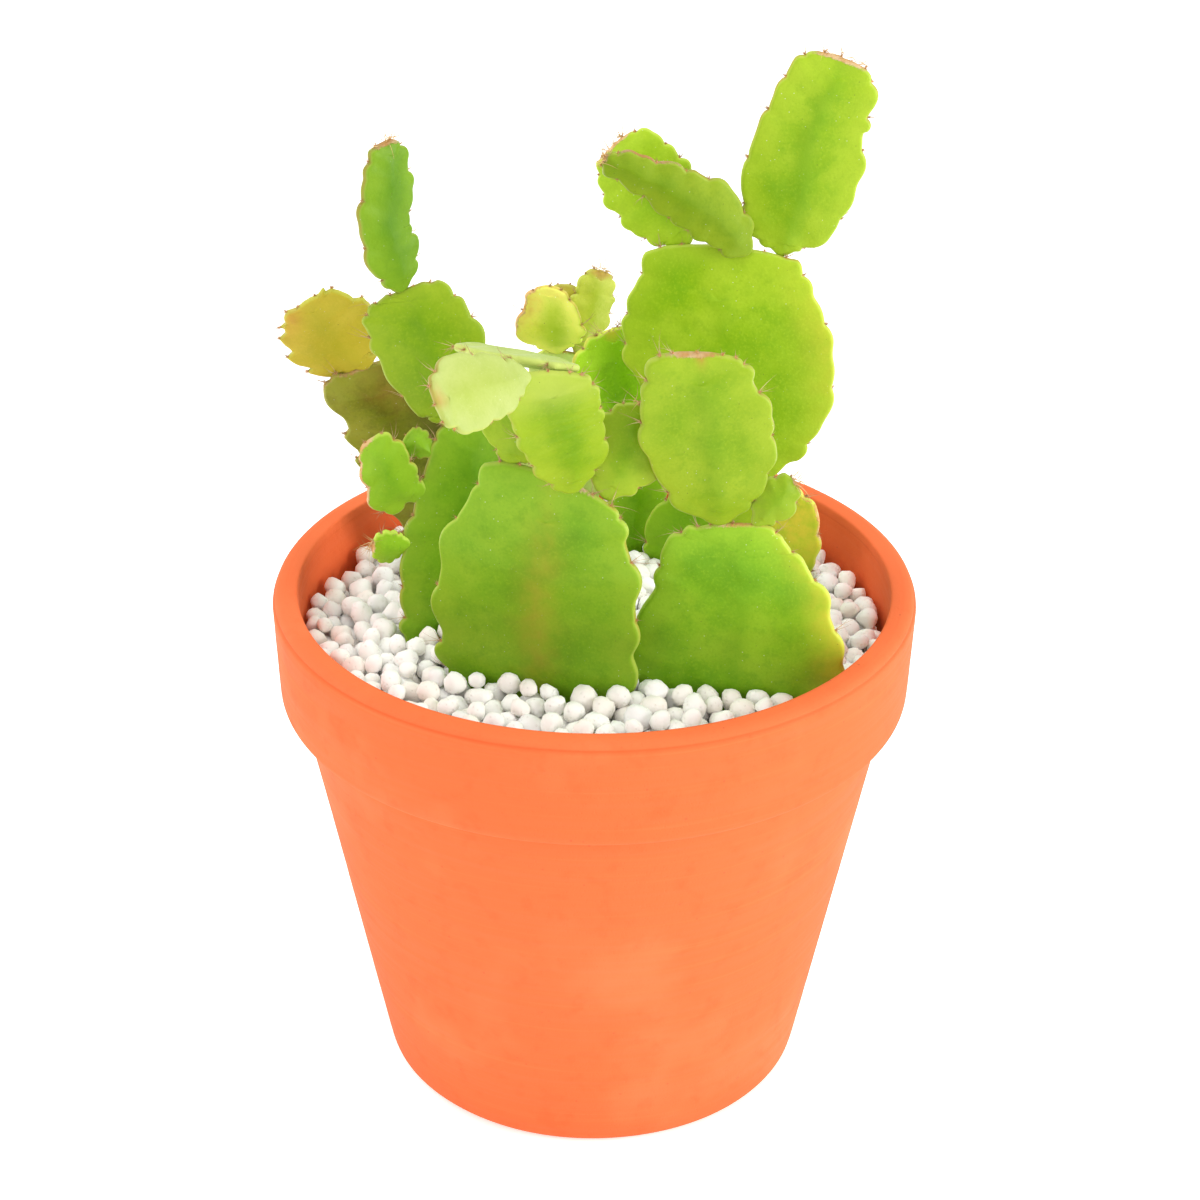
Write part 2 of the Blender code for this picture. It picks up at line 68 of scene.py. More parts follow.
# Every pad: the pad that it grows from, or None for one that is rooted, its finish and its
# marks. A mark is (kind, strength, along, spread along, across, spread across): along runs
# from 0 at the joint to 1 at the tip, across from -1 at the left margin to 1 at the right.
PADS = {
    "front_left_pad": (None, "leaf_green_pad", [
        ("rust", 0.16, 0.45, 0.35, 0.05, 0.12), ("yellow", 0.28, 0.6, 0.5, 0.02, 0.22),
        ("cork", 0.7, 1.0, 0.03, 0.3, 0.6),
    ]),
    "front_left_rear_pad": ("front_left_pad", "lime_green_pad", []),
    "front_left_upper_pad": ("front_left_pad", "lime_green_pad", [
        ("pale", 0.7, 0.96, 0.16, 0.0, 1.4), ("wrinkle", 1.0, 0.5, 0.5, 0.0, 1.0),
    ]),
    "front_left_side_pad": ("front_left_pad", "lime_green_pad", [
        ("cork", 0.7, 1.0, 0.05, 0.0, 0.6),
    ]),
    "front_drooping_pad": ("front_left_upper_pad", "pale_green_pad", [
        ("rust", 0.8, 1.0, 0.06, 0.2, 0.5), ("pale", 0.6, 0.6, 0.6, 0.0, 1.0),
    ]),
    "front_level_pad": ("front_left_upper_pad", "pale_green_pad", [
        ("cork", 0.7, 1.0, 0.06, 0.0, 1.0),
    ]),
    "front_right_pad": (None, "leaf_green_pad", [
        ("yellow", 0.6, 0.45, 0.45, 1.0, 0.26), ("cork", 0.6, 1.0, 0.02, 0.0, 1.0),
    ]),
    "front_right_upper_pad": ("front_right_pad", "lime_green_pad", [
        ("cork", 1.0, 1.0, 0.035, -0.1, 0.7), ("rust", 0.9, 1.0, 0.03, 0.1, 0.12),
    ]),
    "front_right_bud": ("front_right_pad", "lime_green_pad", [
        ("cork", 0.9, 1.0, 0.10, 0.0, 1.0),
    ]),
    # tall_root_pad's left part is darkened as painted shadow, where it lies behind the front pads.
    "tall_root_pad": (None, "deep_green_pad", [
        ("yellow", 1.0, 0.80, 0.35, 0.8, 0.55), ("cork", 0.6, 0.75, 0.25, 1.0, 0.08),
        ("shade", 0.6, 0.55, 0.5, -0.6, 0.6),
    ]),
    "tall_middle_pad": ("tall_root_pad", "lime_green_pad", [
        ("yellow", 0.35, 0.55, 0.3, 0.95, 0.25),
    ]),
    "tall_right_tip_pad": ("tall_middle_pad", "lime_green_pad", [
        ("cork", 1.0, 1.0, 0.025, 0.0, 1.2), ("shade", 0.45, 0.6, 0.4, 0.0, 0.16),
    ]),
    "tall_twisted_pad": ("tall_middle_pad", "lime_green_pad", [
        ("cork", 0.8, 0.8, 0.3, 1.0, 0.08), ("cork", 0.8, 1.0, 0.05, 0.0, 1.0),
    ]),
    "tall_left_tip_pad": ("tall_middle_pad", "lime_green_pad", [
        ("cork", 1.0, 1.0, 0.06, 0.0, 1.2),
    ]),
    "centre_root_pad": (None, "deep_green_pad", [("shade", 0.6, 0.5, 0.6, 0.0, 1.5)]),
    "centre_upper_pad": ("centre_root_pad", "deep_green_pad", [
        ("rust", 0.6, 1.0, 0.03, 0.0, 0.5),
    ]),
    "left_root_pad": (None, "leaf_green_pad", [("shade", 0.4, 0.1, 0.3, 0.3, 0.8)]),
    "left_round_bud": ("left_root_pad", "leaf_green_pad", []),
    "left_side_pad": ("left_root_pad", "leaf_green_pad", [
        ("cork", 1.0, 0.75, 0.35, -1.0, 0.22), ("cork", 0.8, 1.0, 0.06, 0.0, 1.0),
    ]),
    "left_low_bud": ("left_root_pad", "leaf_green_pad", [("cork", 0.8, 1.0, 0.15, 0.0, 1.0)]),
    "left_upper_pad": ("left_root_pad", "lime_green_pad", []),
    "left_tip_pad": ("left_upper_pad", "leaf_green_pad", [
        ("cork", 1.0, 1.0, 0.05, 0.0, 1.4), ("shade", 0.4, 0.5, 0.4, 0.1, 0.4),
    ]),
    # old_stem_pad's right part is darkened as painted shadow, the shadow that left_upper_pad casts on it.
    "old_stem_pad": (None, "olive_old_stem", [
        ("cork", 0.9, 0.92, 0.14, -0.2, 0.8), ("shade", 1.0, 0.6, 0.6, 0.9, 0.70),
        ("ring", 1.0, 0.85, 0.2, -0.1, 0.8), ("rust", 0.26, 0.92, 0.12, 0.3, 0.6),
    ]),
    "ochre_pad": ("old_stem_pad", "ochre_pad", [
        ("yellow", 0.5, 0.4, 0.4, 0.3, 0.5), ("rust", 0.5, 0.9, 0.25, -0.8, 0.4),
    ]),
    "back_root_pad": (None, "pale_green_pad", [("cork", 0.5, 1.0, 0.02, 0.0, 1.0)]),
    "back_curled_pad": ("back_root_pad", "gold_green_pad", [
        ("cork", 0.9, 0.7, 0.4, -0.9, 0.35), ("shade", 0.9, 0.40, 0.35, 0.15, 0.45),
        ("rust", 0.42, 0.72, 0.30, -0.75, 0.45), ("rust", 0.30, 0.95, 0.15, 0.1, 1.0),
    ]),
    "back_tip_pad": ("back_root_pad", "gold_green_pad", [
        ("rust", 0.9, 1.0, 0.06, 0.0, 1.2), ("cork", 0.6, 0.95, 0.08, 0.0, 1.2),
    ]),
    "back_flap_pad": ("back_root_pad", "gold_green_pad", [
        ("yellow", 0.3, 0.8, 0.4, 0.0, 1.0), ("rust", 0.45, 0.8, 0.5, 0.0, 1.5),
    ]),
}
# The mark for darker flesh also carries painted shadow: on tall_root_pad's left part and old_stem_pad's right
# part it stands for the shadow of pads in front.
PAINTED = ("yellow", "cork", "rust", "shade", "pale")
# How bright the skin of a pad is beside its finish: partly the pad's own colour and partly painted light and
# shadow, raised for pads that get little light and lowered for shadowed ones.
TONES_AND_PAINTED_LIGHT = {
    "front_left_pad": 1.02, "front_right_pad": 1.24, "front_left_upper_pad": 0.88,
    "front_left_side_pad": 0.90, "front_left_rear_pad": 0.95, "front_drooping_pad": 0.84,
    "front_right_upper_pad": 0.87, "front_right_bud": 0.85, "tall_root_pad": 1.38,
    "tall_middle_pad": 1.16, "tall_right_tip_pad": 1.03, "tall_twisted_pad": 0.76,
    "tall_left_tip_pad": 1.32, "centre_root_pad": 1.45, "centre_upper_pad": 1.75,
    "left_root_pad": 0.93, "old_stem_pad": 0.88, "left_side_pad": 1.2,
    "left_upper_pad": 0.82, "left_tip_pad": 0.78,
    "left_low_bud": 1.5, "left_round_bud": 1.15, "ochre_pad": 0.96,
    "back_root_pad": 1.4, "back_curled_pad": 1.6, "back_tip_pad": 0.93, "back_flap_pad": 0.85,
}
# Pads whose tips have dried to loose fibres.
DRY_TIPS = (
    "tall_right_tip_pad", "tall_twisted_pad", "tall_left_tip_pad", "front_left_side_pad",
    "front_right_bud", "left_tip_pad", "left_low_bud", "back_tip_pad", "centre_upper_pad",
)
# How many stones of mixed size are dropped first, and how many ever smaller ones fill the gaps.
MIXED_STONES = 1500
FILLER_STONES = 900
# Pads whose lobes end in teeth, and how far the teeth stand out.
TEETH = {"ochre_pad": 1.2 * MM, "old_stem_pad": 0.9 * MM}


# ---------------------------------------------------------------- settings

def length_property(name, description, default):
    return bpy.props.FloatProperty(
        name=name, description=description, default=default, min=0.0,
        subtype="DISTANCE", unit="LENGTH", precision=5,
    )


def share_property(name, description, default):
    return bpy.props.FloatProperty(
        name=name, description=description, default=default, min=0.0, soft_max=1.0,
        subtype="FACTOR",
    )


def colour_property(name, description, default):
    return bpy.props.FloatVectorProperty(
        name=name, description=description, default=default, size=3, min=0.0, max=1.0,
        subtype="COLOR",
    )


def count_property(name, description, default):
    return bpy.props.IntProperty(name=name, description=description, default=default, min=1)


class PotSettings(bpy.types.PropertyGroup):
    """The clay pot."""
    steps: count_property("Steps", "Faces around the pot", 192)
    wobble: length_property("Wobble", "How far the thrown wall strays from round", 0.10 * MM)
    groove: length_property("Groove", "Depth of the fine line below the lip", 0.22 * MM)
    clay: colour_property("Clay", "Fired clay", (0.84, 0.143, 0.036))
    dusty: colour_property("Dusty clay", "Paler patches of the clay", (0.90, 0.225, 0.080))
    burnt: colour_property("Burnt clay", "Darker patches of the clay", (0.76, 0.105, 0.020))


class PebbleSettings(bpy.types.PropertyGroup):
    """The bed of pebbles and the earth under it."""
    smallest: length_property("Smallest", "Smallest pebble across", 3.0 * MM)
    largest: length_property("Largest", "Largest pebble across", 4.7 * MM)
    depth: length_property("Depth", "Depth of the pebbles that are laid", 5.4 * MM)
    proud: length_property("Proud", "How far pebbles at the wall stand above the bed", 1.5 * MM)
    mound: length_property("Mound", "How much higher the middle of the bed is", 3.7 * MM)
    lumps: length_property("Lumps", "Height of the lumps on a pebble", 0.85 * MM)
    seed: count_property("Seed", "Which of the random beds is laid", 7)
    stone: colour_property("Stone", "Pebble white", (0.98, 0.965, 0.93))
    cream: colour_property("Cream", "The warmer pebbles", (0.95, 0.90, 0.84))
    grey: colour_property("Grey", "The cooler pebbles", (0.92, 0.91, 0.90))
    earth: colour_property("Earth", "Potting soil", (0.060, 0.040, 0.026))
    bark: colour_property("Bark", "Bits of bark in the soil", (0.13, 0.075, 0.04))


class PadSettings(bpy.types.PropertyGroup):
    """The shape of every pad's flesh."""
    rim: length_property("Rim", "Radius of a pad's rounded margin", 0.80 * MM)
    scallop: length_property("Scallop", "How far a lobe swells between its notches", 0.90 * MM)
    rib: length_property("Rib", "Height of the midrib", 0.16 * MM)
    rib_width: length_property("Rib width", "Half width of the midrib", 1.6 * MM)
    crease: length_property("Crease", "Depth of the creases that run in from the notches", 0.09 * MM)
    ripple: length_property("Ripple", "How far a margin waves out of its plane", 0.40 * MM)
    swell: length_property("Swell", "Uneven swelling of the faces", 0.22 * MM)
    sunk: length_property("Sunk", "How far a neck grows into the pad that bears it", 0.80 * MM)
    margin: colour_property("Margin", "The pale line along a margin", (0.58, 0.66, 0.12))
    yellow: colour_property("Yellowing", "Flesh that turns yellow", (0.68, 0.54, 0.05))
    cork: colour_property("Cork", "Corky skin", (0.56, 0.30, 0.09))
    rust: colour_property("Rust", "Reddened flesh", (0.62, 0.22, 0.06))


class TuftSettings(bpy.types.PropertyGroup):
    """The wool and spines of the notches."""
    wool_length: length_property("Wool length", "Length of a wool fibre", 0.75 * MM)
    wool_count: count_property("Wool count", "Fibres in one tuft", 13)
    spine_length: length_property("Spine length", "Length of a long spine", 3.8 * MM)
    spine_width: length_property("Spine width", "Radius of a spine at its foot", 0.05 * MM)
    straw: colour_property("Straw", "The pale part of a spine", (0.66, 0.46, 0.24))
    brown: colour_property("Brown", "A spine's tip, and old wool", (0.28, 0.12, 0.05))
    wool: colour_property("Wool", "Young wool", (0.74, 0.46, 0.20))
    core: colour_property("Core", "The scar that the wool stands on", (0.70, 0.30, 0.07))


class StageSettings(bpy.types.PropertyGroup):
    """The floor, the lights and the camera."""
    floor: colour_property("Floor", "Paint of the floor", (0.97, 0.97, 0.97))
    glow: share_property("Glow", "How much the floor shines by itself", 0.50)
    sky: share_property("Sky", "Strength of the light from all around", 0.70)
    camera_place: bpy.props.FloatVectorProperty(
        name="Camera", description="Where the camera stands", size=3,
        default=(0.0009, -0.4143, 0.3080), subtype="TRANSLATION", unit="LENGTH",
    )
    camera_pitch: bpy.props.FloatProperty(
        name="Pitch", description="How far the camera looks down",
        default=0.4953, subtype="ANGLE", unit="ROTATION",
    )
    camera_roll: bpy.props.FloatProperty(
        name="Roll", description="How far the camera leans to its side",
        default=0.0065, subtype="ANGLE", unit="ROTATION",
    )
    lens: bpy.props.FloatProperty(
        name="Lens", description="Focal length", default=86.07, subtype="DISTANCE_CAMERA",
    )


SETTINGS = {
    "cactus_pot": PotSettings,
    "cactus_pebbles": PebbleSettings,
    "cactus_pads": PadSettings,
    "cactus_tufts": TuftSettings,
    "cactus_stage": StageSettings,
}


# ---------------------------------------------------------------- nodes

def add(tree, kind, sockets=None, **settings):
    """A node with its settings, each socket given a value or another node's output."""
    made = tree.nodes.new(kind)
    for key, value in settings.items():
        setattr(made, key, value)
    for key, value in (sockets or {}).items():
        if isinstance(value, bpy.types.NodeSocket):
            tree.links.new(value, made.inputs[key])
        else:
            made.inputs[key].default_value = value
    return made


def maths(tree, operation, *values):
    made = add(tree, "ShaderNodeMath", dict(enumerate(values)), operation=operation)
    return made.outputs[0]


def rgba(colour):
    return (*colour, 1.0)


def blended(tree, share, one, other, way="MIX"):
    """One colour turning into another as the share rises from 0 to 1."""
    made = add(tree, "ShaderNodeMix", data_type="RGBA", blend_type=way)
    for key, value in ((0, share), (6, one), (7, other)):
        if isinstance(value, bpy.types.NodeSocket):
            tree.links.new(value, made.inputs[key])
        else:
            made.inputs[key].default_value = value
    return made.outputs[2]


def ramped(tree, value, low, high, to_low=0.0, to_high=1.0):
    """A value's place between two limits, eased, and held at the ends."""
    made = add(
        tree, "ShaderNodeMapRange",
        {0: value, 1: low, 2: high, 3: to_low, 4: to_high}, interpolation_type="SMOOTHSTEP",
    )
    return made.outputs[0]


def clouds(tree, place, scale, detail=3.0, roughness=0.55):
    made = add(
        tree, "ShaderNodeTexNoise",
        {"Vector": place, "Scale": scale, "Detail": detail, "Roughness": roughness},
    )
    return made.outputs["Fac"]


def object_place(tree):
    return add(tree, "ShaderNodeTexCoord").outputs["Object"]


def painted(tree, name):
    """A value painted on the surface."""
    return add(tree, "ShaderNodeAttribute", attribute_name=name).outputs["Fac"]


def new_group(name, kind, inputs, outputs):
    """A node group with its named sockets, and its input and output nodes."""
    tree = bpy.data.node_groups.new(name, kind)
    for label, socket, default in inputs:
        made = tree.interface.new_socket(label, in_out="INPUT", socket_type=socket)
        if default is not None:
            made.default_value = default
    for label, socket in outputs:
        tree.interface.new_socket(label, in_out="OUTPUT", socket_type=socket)
    return tree, tree.nodes.new("NodeGroupInput").outputs, tree.nodes.new("NodeGroupOutput").inputs


def grain_group():
    """Fine grain: a height for bumps, and a mask that is high in the pits."""
    name = "fine_grain"
    if name in bpy.data.node_groups:
        return bpy.data.node_groups[name]
    tree, given, result = new_group(
        name, "ShaderNodeTree",
        [("Grain Scale", "NodeSocketFloat", 1200.0), ("Pits", "NodeSocketFloat", 0.4)],
        [("Height", "NodeSocketFloat"), ("Pit Mask", "NodeSocketFloat")],
    )
    place = object_place(tree)
    fine = clouds(tree, place, given["Grain Scale"], 4.0, 0.65)
    coarse = clouds(tree, place, maths(tree, "MULTIPLY", given["Grain Scale"], 0.23), 2.0)
    pits = add(
        tree, "ShaderNodeTexVoronoi",
        {"Vector": place, "Scale": maths(tree, "MULTIPLY", given["Grain Scale"], 0.55)},
    ).outputs["Distance"]
    mask = maths(tree, "MULTIPLY", ramped(tree, pits, 0.28, 0.08), given["Pits"])
    height = maths(tree, "ADD", maths(tree, "MULTIPLY", coarse, 0.6), maths(tree, "MULTIPLY", fine, 0.4))
    tree.links.new(maths(tree, "SUBTRACT", height, mask), result["Height"])
    tree.links.new(mask, result["Pit Mask"])
    return tree


def mottle_group():
    """Three shades of one stuff, in soft patches of two sizes."""
    name = "soft_mottle"
    if name in bpy.data.node_groups:
        return bpy.data.node_groups[name]
    tree, given, result = new_group(
        name, "ShaderNodeTree",
        [
            ("Main", "NodeSocketColor", rgba((0.5, 0.5, 0.5))),
            ("Light", "NodeSocketColor", rgba((0.8, 0.8, 0.8))),
            ("Dark", "NodeSocketColor", rgba((0.2, 0.2, 0.2))),
            ("Patch Scale", "NodeSocketFloat", 60.0),
            ("Strength", "NodeSocketFloat", 0.5),
        ],
        [("Color", "NodeSocketColor")],
    )
    place = object_place(tree)
    broad = clouds(tree, place, given["Patch Scale"], 3.0)
    small = clouds(tree, place, maths(tree, "MULTIPLY", given["Patch Scale"], 6.3), 3.0)
    light = maths(tree, "MULTIPLY", ramped(tree, broad, 0.48, 0.72), given["Strength"])
    dark = maths(tree, "MULTIPLY", ramped(tree, small, 0.50, 0.78), given["Strength"])
    colour = blended(tree, light, given["Main"], given["Light"])
    tree.links.new(blended(tree, dark, colour, given["Dark"]), result["Color"])
    return tree


def skin_group():
    """A pad's skin, from what is painted on it: its colour, its roughness and its height."""
    name = "pad_skin"
    if name in bpy.data.node_groups:
        return bpy.data.node_groups[name]
    colours = ("Flesh", "Deep", "Light", "Margin", "Yellow", "Cork", "Rust")
    tree, given, result = new_group(
        name, "ShaderNodeTree",
        [(label, "NodeSocketColor", rgba((0.3, 0.5, 0.05))) for label in colours]
        + [("Margin Width", "NodeSocketFloat", 0.45)],
        [("Color", "NodeSocketColor"), ("Roughness", "NodeSocketFloat"), ("Height", "NodeSocketFloat")],
    )
    place = object_place(tree)
    broad = clouds(tree, place, 95.0, 2.0)
    patchy = clouds(tree, place, 420.0, 3.0)
    fine = clouds(tree, place, 2300.0, 3.0, 0.6)

    light_clouds = maths(tree, "MULTIPLY", ramped(tree, broad, 0.42, 0.68), 0.55)
    colour = blended(tree, light_clouds, given["Flesh"], given["Light"])
    deep_clouds = maths(tree, "MULTIPLY", ramped(tree, broad, 0.46, 0.30), 0.45)
    colour = blended(tree, deep_clouds, colour, given["Deep"])
    deep_patches = maths(tree, "MULTIPLY", ramped(tree, patchy, 0.46, 0.72), 0.34)
    colour = blended(tree, deep_patches, colour, given["Deep"])
    freckles = maths(tree, "MULTIPLY", ramped(tree, fine, 0.50, 0.70), 0.34)
    colour = blended(tree, freckles, colour, given["Light"])

    pores = maths(tree, "MULTIPLY", ramped(tree, fine, 0.46, 0.28), 0.30)
    colour = blended(tree, pores, colour, given["Deep"])
    rib = maths(tree, "MULTIPLY", ramped(tree, painted(tree, "rib"), 3.4, 0.0), 0.30)
    colour = blended(tree, rib, colour, given["Deep"])
    near_margin = painted(tree, "margin")
    glow = maths(tree, "MULTIPLY", ramped(tree, near_margin, 5.5, 0.0), 0.45)
    colour = blended(tree, glow, colour, given["Light"])
    # Darker flesh, and painted shadow where a pad lies in the shadow of others, blended towards the deep
    # colour.
    colour = blended(tree, maths(tree, "MULTIPLY", painted(tree, "shade"), 0.8), colour, given["Deep"])
    colour = blended(tree, maths(tree, "MULTIPLY", painted(tree, "pale"), 0.75), colour, given["Margin"])

    uneven = maths(tree, "MULTIPLY", ramped(tree, patchy, 0.25, 0.75, 0.45, 1.0), 1.0)
    for label in ("Yellow", "Rust"):
        amount = maths(tree, "MULTIPLY", painted(tree, label.lower()), uneven)
        colour = blended(tree, amount, colour, given[label])
    line = maths(tree, "MULTIPLY", ramped(tree, near_margin, given["Margin Width"], 0.0), 0.48)
    colour = blended(tree, line, colour, given["Margin"])
    edge = maths(tree, "MULTIPLY", ramped(tree, near_margin, 0.20, 0.05), ramped(tree, broad, 0.50, 0.66))
    colour = blended(tree, maths(tree, "MULTIPLY", edge, 0.55), colour, rgba((0.42, 0.24, 0.04)))

    ragged = maths(tree, "MULTIPLY", maths(tree, "SUBTRACT", fine, 0.5), 0.9)
    rough_cork = maths(tree, "ADD", painted(tree, "cork"), ragged)
    cork_reach = ramped(tree, painted(tree, "cork"), 0.02, 0.2)
    cork = maths(tree, "MULTIPLY", ramped(tree, rough_cork, 0.28, 0.62), cork_reach)
    corky = blended(tree, ramped(tree, patchy, 0.35, 0.7), given["Cork"], rgba((0.68, 0.50, 0.28)))
    colour = blended(tree, cork, colour, corky)

    cells = add(tree, "ShaderNodeTexVoronoi", {"Vector": place, "Scale": 1500.0})
    chosen = add(tree, "ShaderNodeSeparateColor", {0: cells.outputs["Color"]})
    spot = ramped(tree, cells.outputs["Distance"], 0.15, 0.08)
    flecked = maths(tree, "MULTIPLY", spot, ramped(tree, broad, 0.44, 0.60, 0.25, 1.0))
    white = maths(tree, "MULTIPLY", flecked, maths(tree, "GREATER_THAN", chosen.outputs[0], 0.80))
    dark = maths(tree, "MULTIPLY", spot, maths(tree, "LESS_THAN", chosen.outputs[0], 0.03))
    colour = blended(tree, maths(tree, "MULTIPLY", white, 0.55), colour, rgba((0.85, 0.88, 0.70)))
    colour = blended(tree, maths(tree, "MULTIPLY", dark, 0.75), colour, rgba((0.10, 0.09, 0.02)))
    # Each pad's brightness: partly its own colour, partly painted light and shadow.
    tone = maths(tree, "MULTIPLY", painted(tree, "tone"), 0.93)
    grey = add(tree, "ShaderNodeCombineColor", {0: tone, 1: tone, 2: tone}).outputs[0]
    tree.links.new(blended(tree, 1.0, colour, grey, "MULTIPLY"), result["Color"])

    roughness = maths(tree, "ADD", maths(tree, "MULTIPLY", patchy, 0.20), 0.30)
    roughness = maths(tree, "ADD", roughness, maths(tree, "MULTIPLY", cork, 0.40))
    tree.links.new(roughness, result["Roughness"])
    height = maths(tree, "ADD", maths(tree, "MULTIPLY", fine, 0.25), maths(tree, "MULTIPLY", patchy, 0.9))
    height = maths(tree, "ADD", height, maths(tree, "MULTIPLY", maths(tree, "MULTIPLY", cork, fine), 1.6))
    tree.links.new(height, result["Height"])
    return tree


def new_material(name):
    """A material with its tree and its shader."""
    made = bpy.data.materials.new(name)
    made.use_nodes = True
    return made, made.node_tree, made.node_tree.nodes["Principled BSDF"]


def place_group(tree, group, sockets):
    made = add(tree, "ShaderNodeGroup", node_tree=group)
    for key, value in sockets.items():
        if isinstance(value, bpy.types.NodeSocket):
            tree.links.new(value, made.inputs[key])
        else:
            made.inputs[key].default_value = value
    return made.outputs


def bumped(tree, shader, height, distance, strength=1.0):
    bump = add(tree, "ShaderNodeBump", {"Height": height, "Distance": distance, "Strength": strength})
    tree.links.new(bump.outputs[0], shader.inputs["Normal"])


def clay_material():
    """Unglazed clay: warm patches, a fine grain and dark specks, paler at the lip, with painted shadow on the
    inner wall, in the groove below the lip and under the band's step.
    """
    pot = bpy.context.scene.cactus_pot
    made, tree, shader = new_material("clay")
    mottle = place_group(tree, mottle_group(), {
        "Main": rgba(pot.clay), "Light": rgba(pot.dusty), "Dark": rgba(pot.burnt),
        "Patch Scale": 38.0, "Strength": 0.38,
    })
    grain = place_group(tree, grain_group(), {"Grain Scale": 2600.0, "Pits": 0.35})
    place = object_place(tree)
    stretched = add(tree, "ShaderNodeMapping", {"Vector": place, "Scale": (18.0, 18.0, 900.0)})
    streaks = clouds(tree, stretched.outputs[0], 1.0, 3.0)
    colour = blended(
        tree, maths(tree, "MULTIPLY", ramped(tree, streaks, 0.52, 0.80), 0.25),
        mottle["Color"], rgba(pot.dusty),
    )
    # Paler towards the top of the lip.
    lip_paling = maths(tree, "MULTIPLY", ramped(tree, painted(tree, "edge"), 0.15, 1.0), 0.22)
    colour = blended(tree, lip_paling, colour, rgba(pot.dusty))
    # Painted shadow: the inner wall is darkened towards the burnt clay.
    colour = blended(tree, maths(tree, "MULTIPLY", painted(tree, "inside"), 0.12), colour, rgba(pot.burnt))
    # Painted shadow in the groove below the lip and under the band's step.
    colour = blended(tree, maths(tree, "MULTIPLY", painted(tree, "line"), 0.6), colour, rgba(pot.burnt))
    specks = add(tree, "ShaderNodeTexVoronoi", {"Vector": place, "Scale": 620.0})
    picked = add(tree, "ShaderNodeSeparateColor", {0: specks.outputs["Color"]})
    dots = maths(
        tree, "MULTIPLY", ramped(tree, specks.outputs["Distance"], 0.16, 0.08),
        maths(tree, "GREATER_THAN", picked.outputs[1], 0.93),
    )
    colour = blended(tree, maths(tree, "MULTIPLY", dots, 0.45), colour, rgba((0.45, 0.08, 0.03)))
    colour = blended(tree, maths(tree, "MULTIPLY", grain["Pit Mask"], 0.35), colour, rgba(pot.burnt))
    tree.links.new(colour, shader.inputs["Base Color"])
    tree.links.new(ramped(tree, streaks, 0.3, 0.7, 0.74, 0.88), shader.inputs["Roughness"])
    shader.inputs["Specular IOR Level"].default_value = 0.3
    bumped(tree, shader, grain["Height"], 0.10 * MM, 0.55)
    return made


def stone_material():
    """Chalky white stone, each pebble its own tint, with grey pores."""
    bed = bpy.context.scene.cactus_pebbles
    made, tree, shader = new_material("pebble_stone")
    tone = painted(tree, "tone")
    colour = blended(tree, ramped(tree, tone, 0.60, 1.0), rgba(bed.stone), rgba(bed.cream))
    colour = blended(tree, ramped(tree, tone, 0.22, 0.0), colour, rgba(bed.grey))
    grain = place_group(tree, grain_group(), {"Grain Scale": 2100.0, "Pits": 0.6})
    patches = clouds(tree, object_place(tree), 700.0, 3.0)
    colour = blended(
        tree, maths(tree, "MULTIPLY", ramped(tree, patches, 0.55, 0.8), 0.35), colour, rgba(bed.grey),
    )
    colour = blended(tree, maths(tree, "MULTIPLY", grain["Pit Mask"], 0.45), colour, rgba((0.72, 0.67, 0.61)))
    tree.links.new(colour, shader.inputs["Base Color"])
    tree.links.new(ramped(tree, patches, 0.3, 0.7, 0.80, 0.95), shader.inputs["Roughness"])
    shader.inputs["Specular IOR Level"].default_value = 0.25
    bumped(tree, shader, grain["Height"], 0.14 * MM, 0.8)
    return made


def earth_material():
    """Dark potting soil with bits of bark."""
    bed = bpy.context.scene.cactus_pebbles
    made, tree, shader = new_material("earth")
    mottle = place_group(tree, mottle_group(), {
        "Main": rgba(bed.earth), "Light": rgba(bed.bark), "Dark": rgba((0.015, 0.01, 0.007)),
        "Patch Scale": 260.0, "Strength": 0.8,
    })
    grain = place_group(tree, grain_group(), {"Grain Scale": 1100.0, "Pits": 0.5})
    tree.links.new(mottle["Color"], shader.inputs["Base Color"])
    tree.links.new(ramped(tree, grain["Height"], 0.2, 0.8, 0.85, 1.0), shader.inputs["Roughness"])
    bumped(tree, shader, grain["Height"], 0.5 * MM)
    return made


# Flesh, deep and light colour of each pad finish.
PAD_COLOURS = {
    "leaf_green_pad": ((0.182, 0.392, 0.012), (0.092, 0.262, 0.005), (0.300, 0.500, 0.026)),
    "lime_green_pad": ((0.245, 0.420, 0.008), (0.140, 0.320, 0.004), (0.415, 0.560, 0.030)),
    "deep_green_pad": ((0.195, 0.405, 0.006), (0.085, 0.225, 0.002), (0.325, 0.515, 0.022)),
    "pale_green_pad": ((0.440, 0.560, 0.120), (0.280, 0.430, 0.030), (0.600, 0.680, 0.250)),
    "olive_old_stem": ((0.230, 0.270, 0.015), (0.060, 0.060, 0.004), (0.400, 0.390, 0.045)),
    "ochre_pad": ((0.480, 0.400, 0.020), (0.290, 0.320, 0.008), (0.640, 0.500, 0.050)),
    # The gold green colours are raised partly as painted light, making up for the little light that the back
    # pads get.
    "gold_green_pad": ((0.640, 0.720, 0.060), (0.300, 0.440, 0.014), (0.780, 0.760, 0.170)),
}


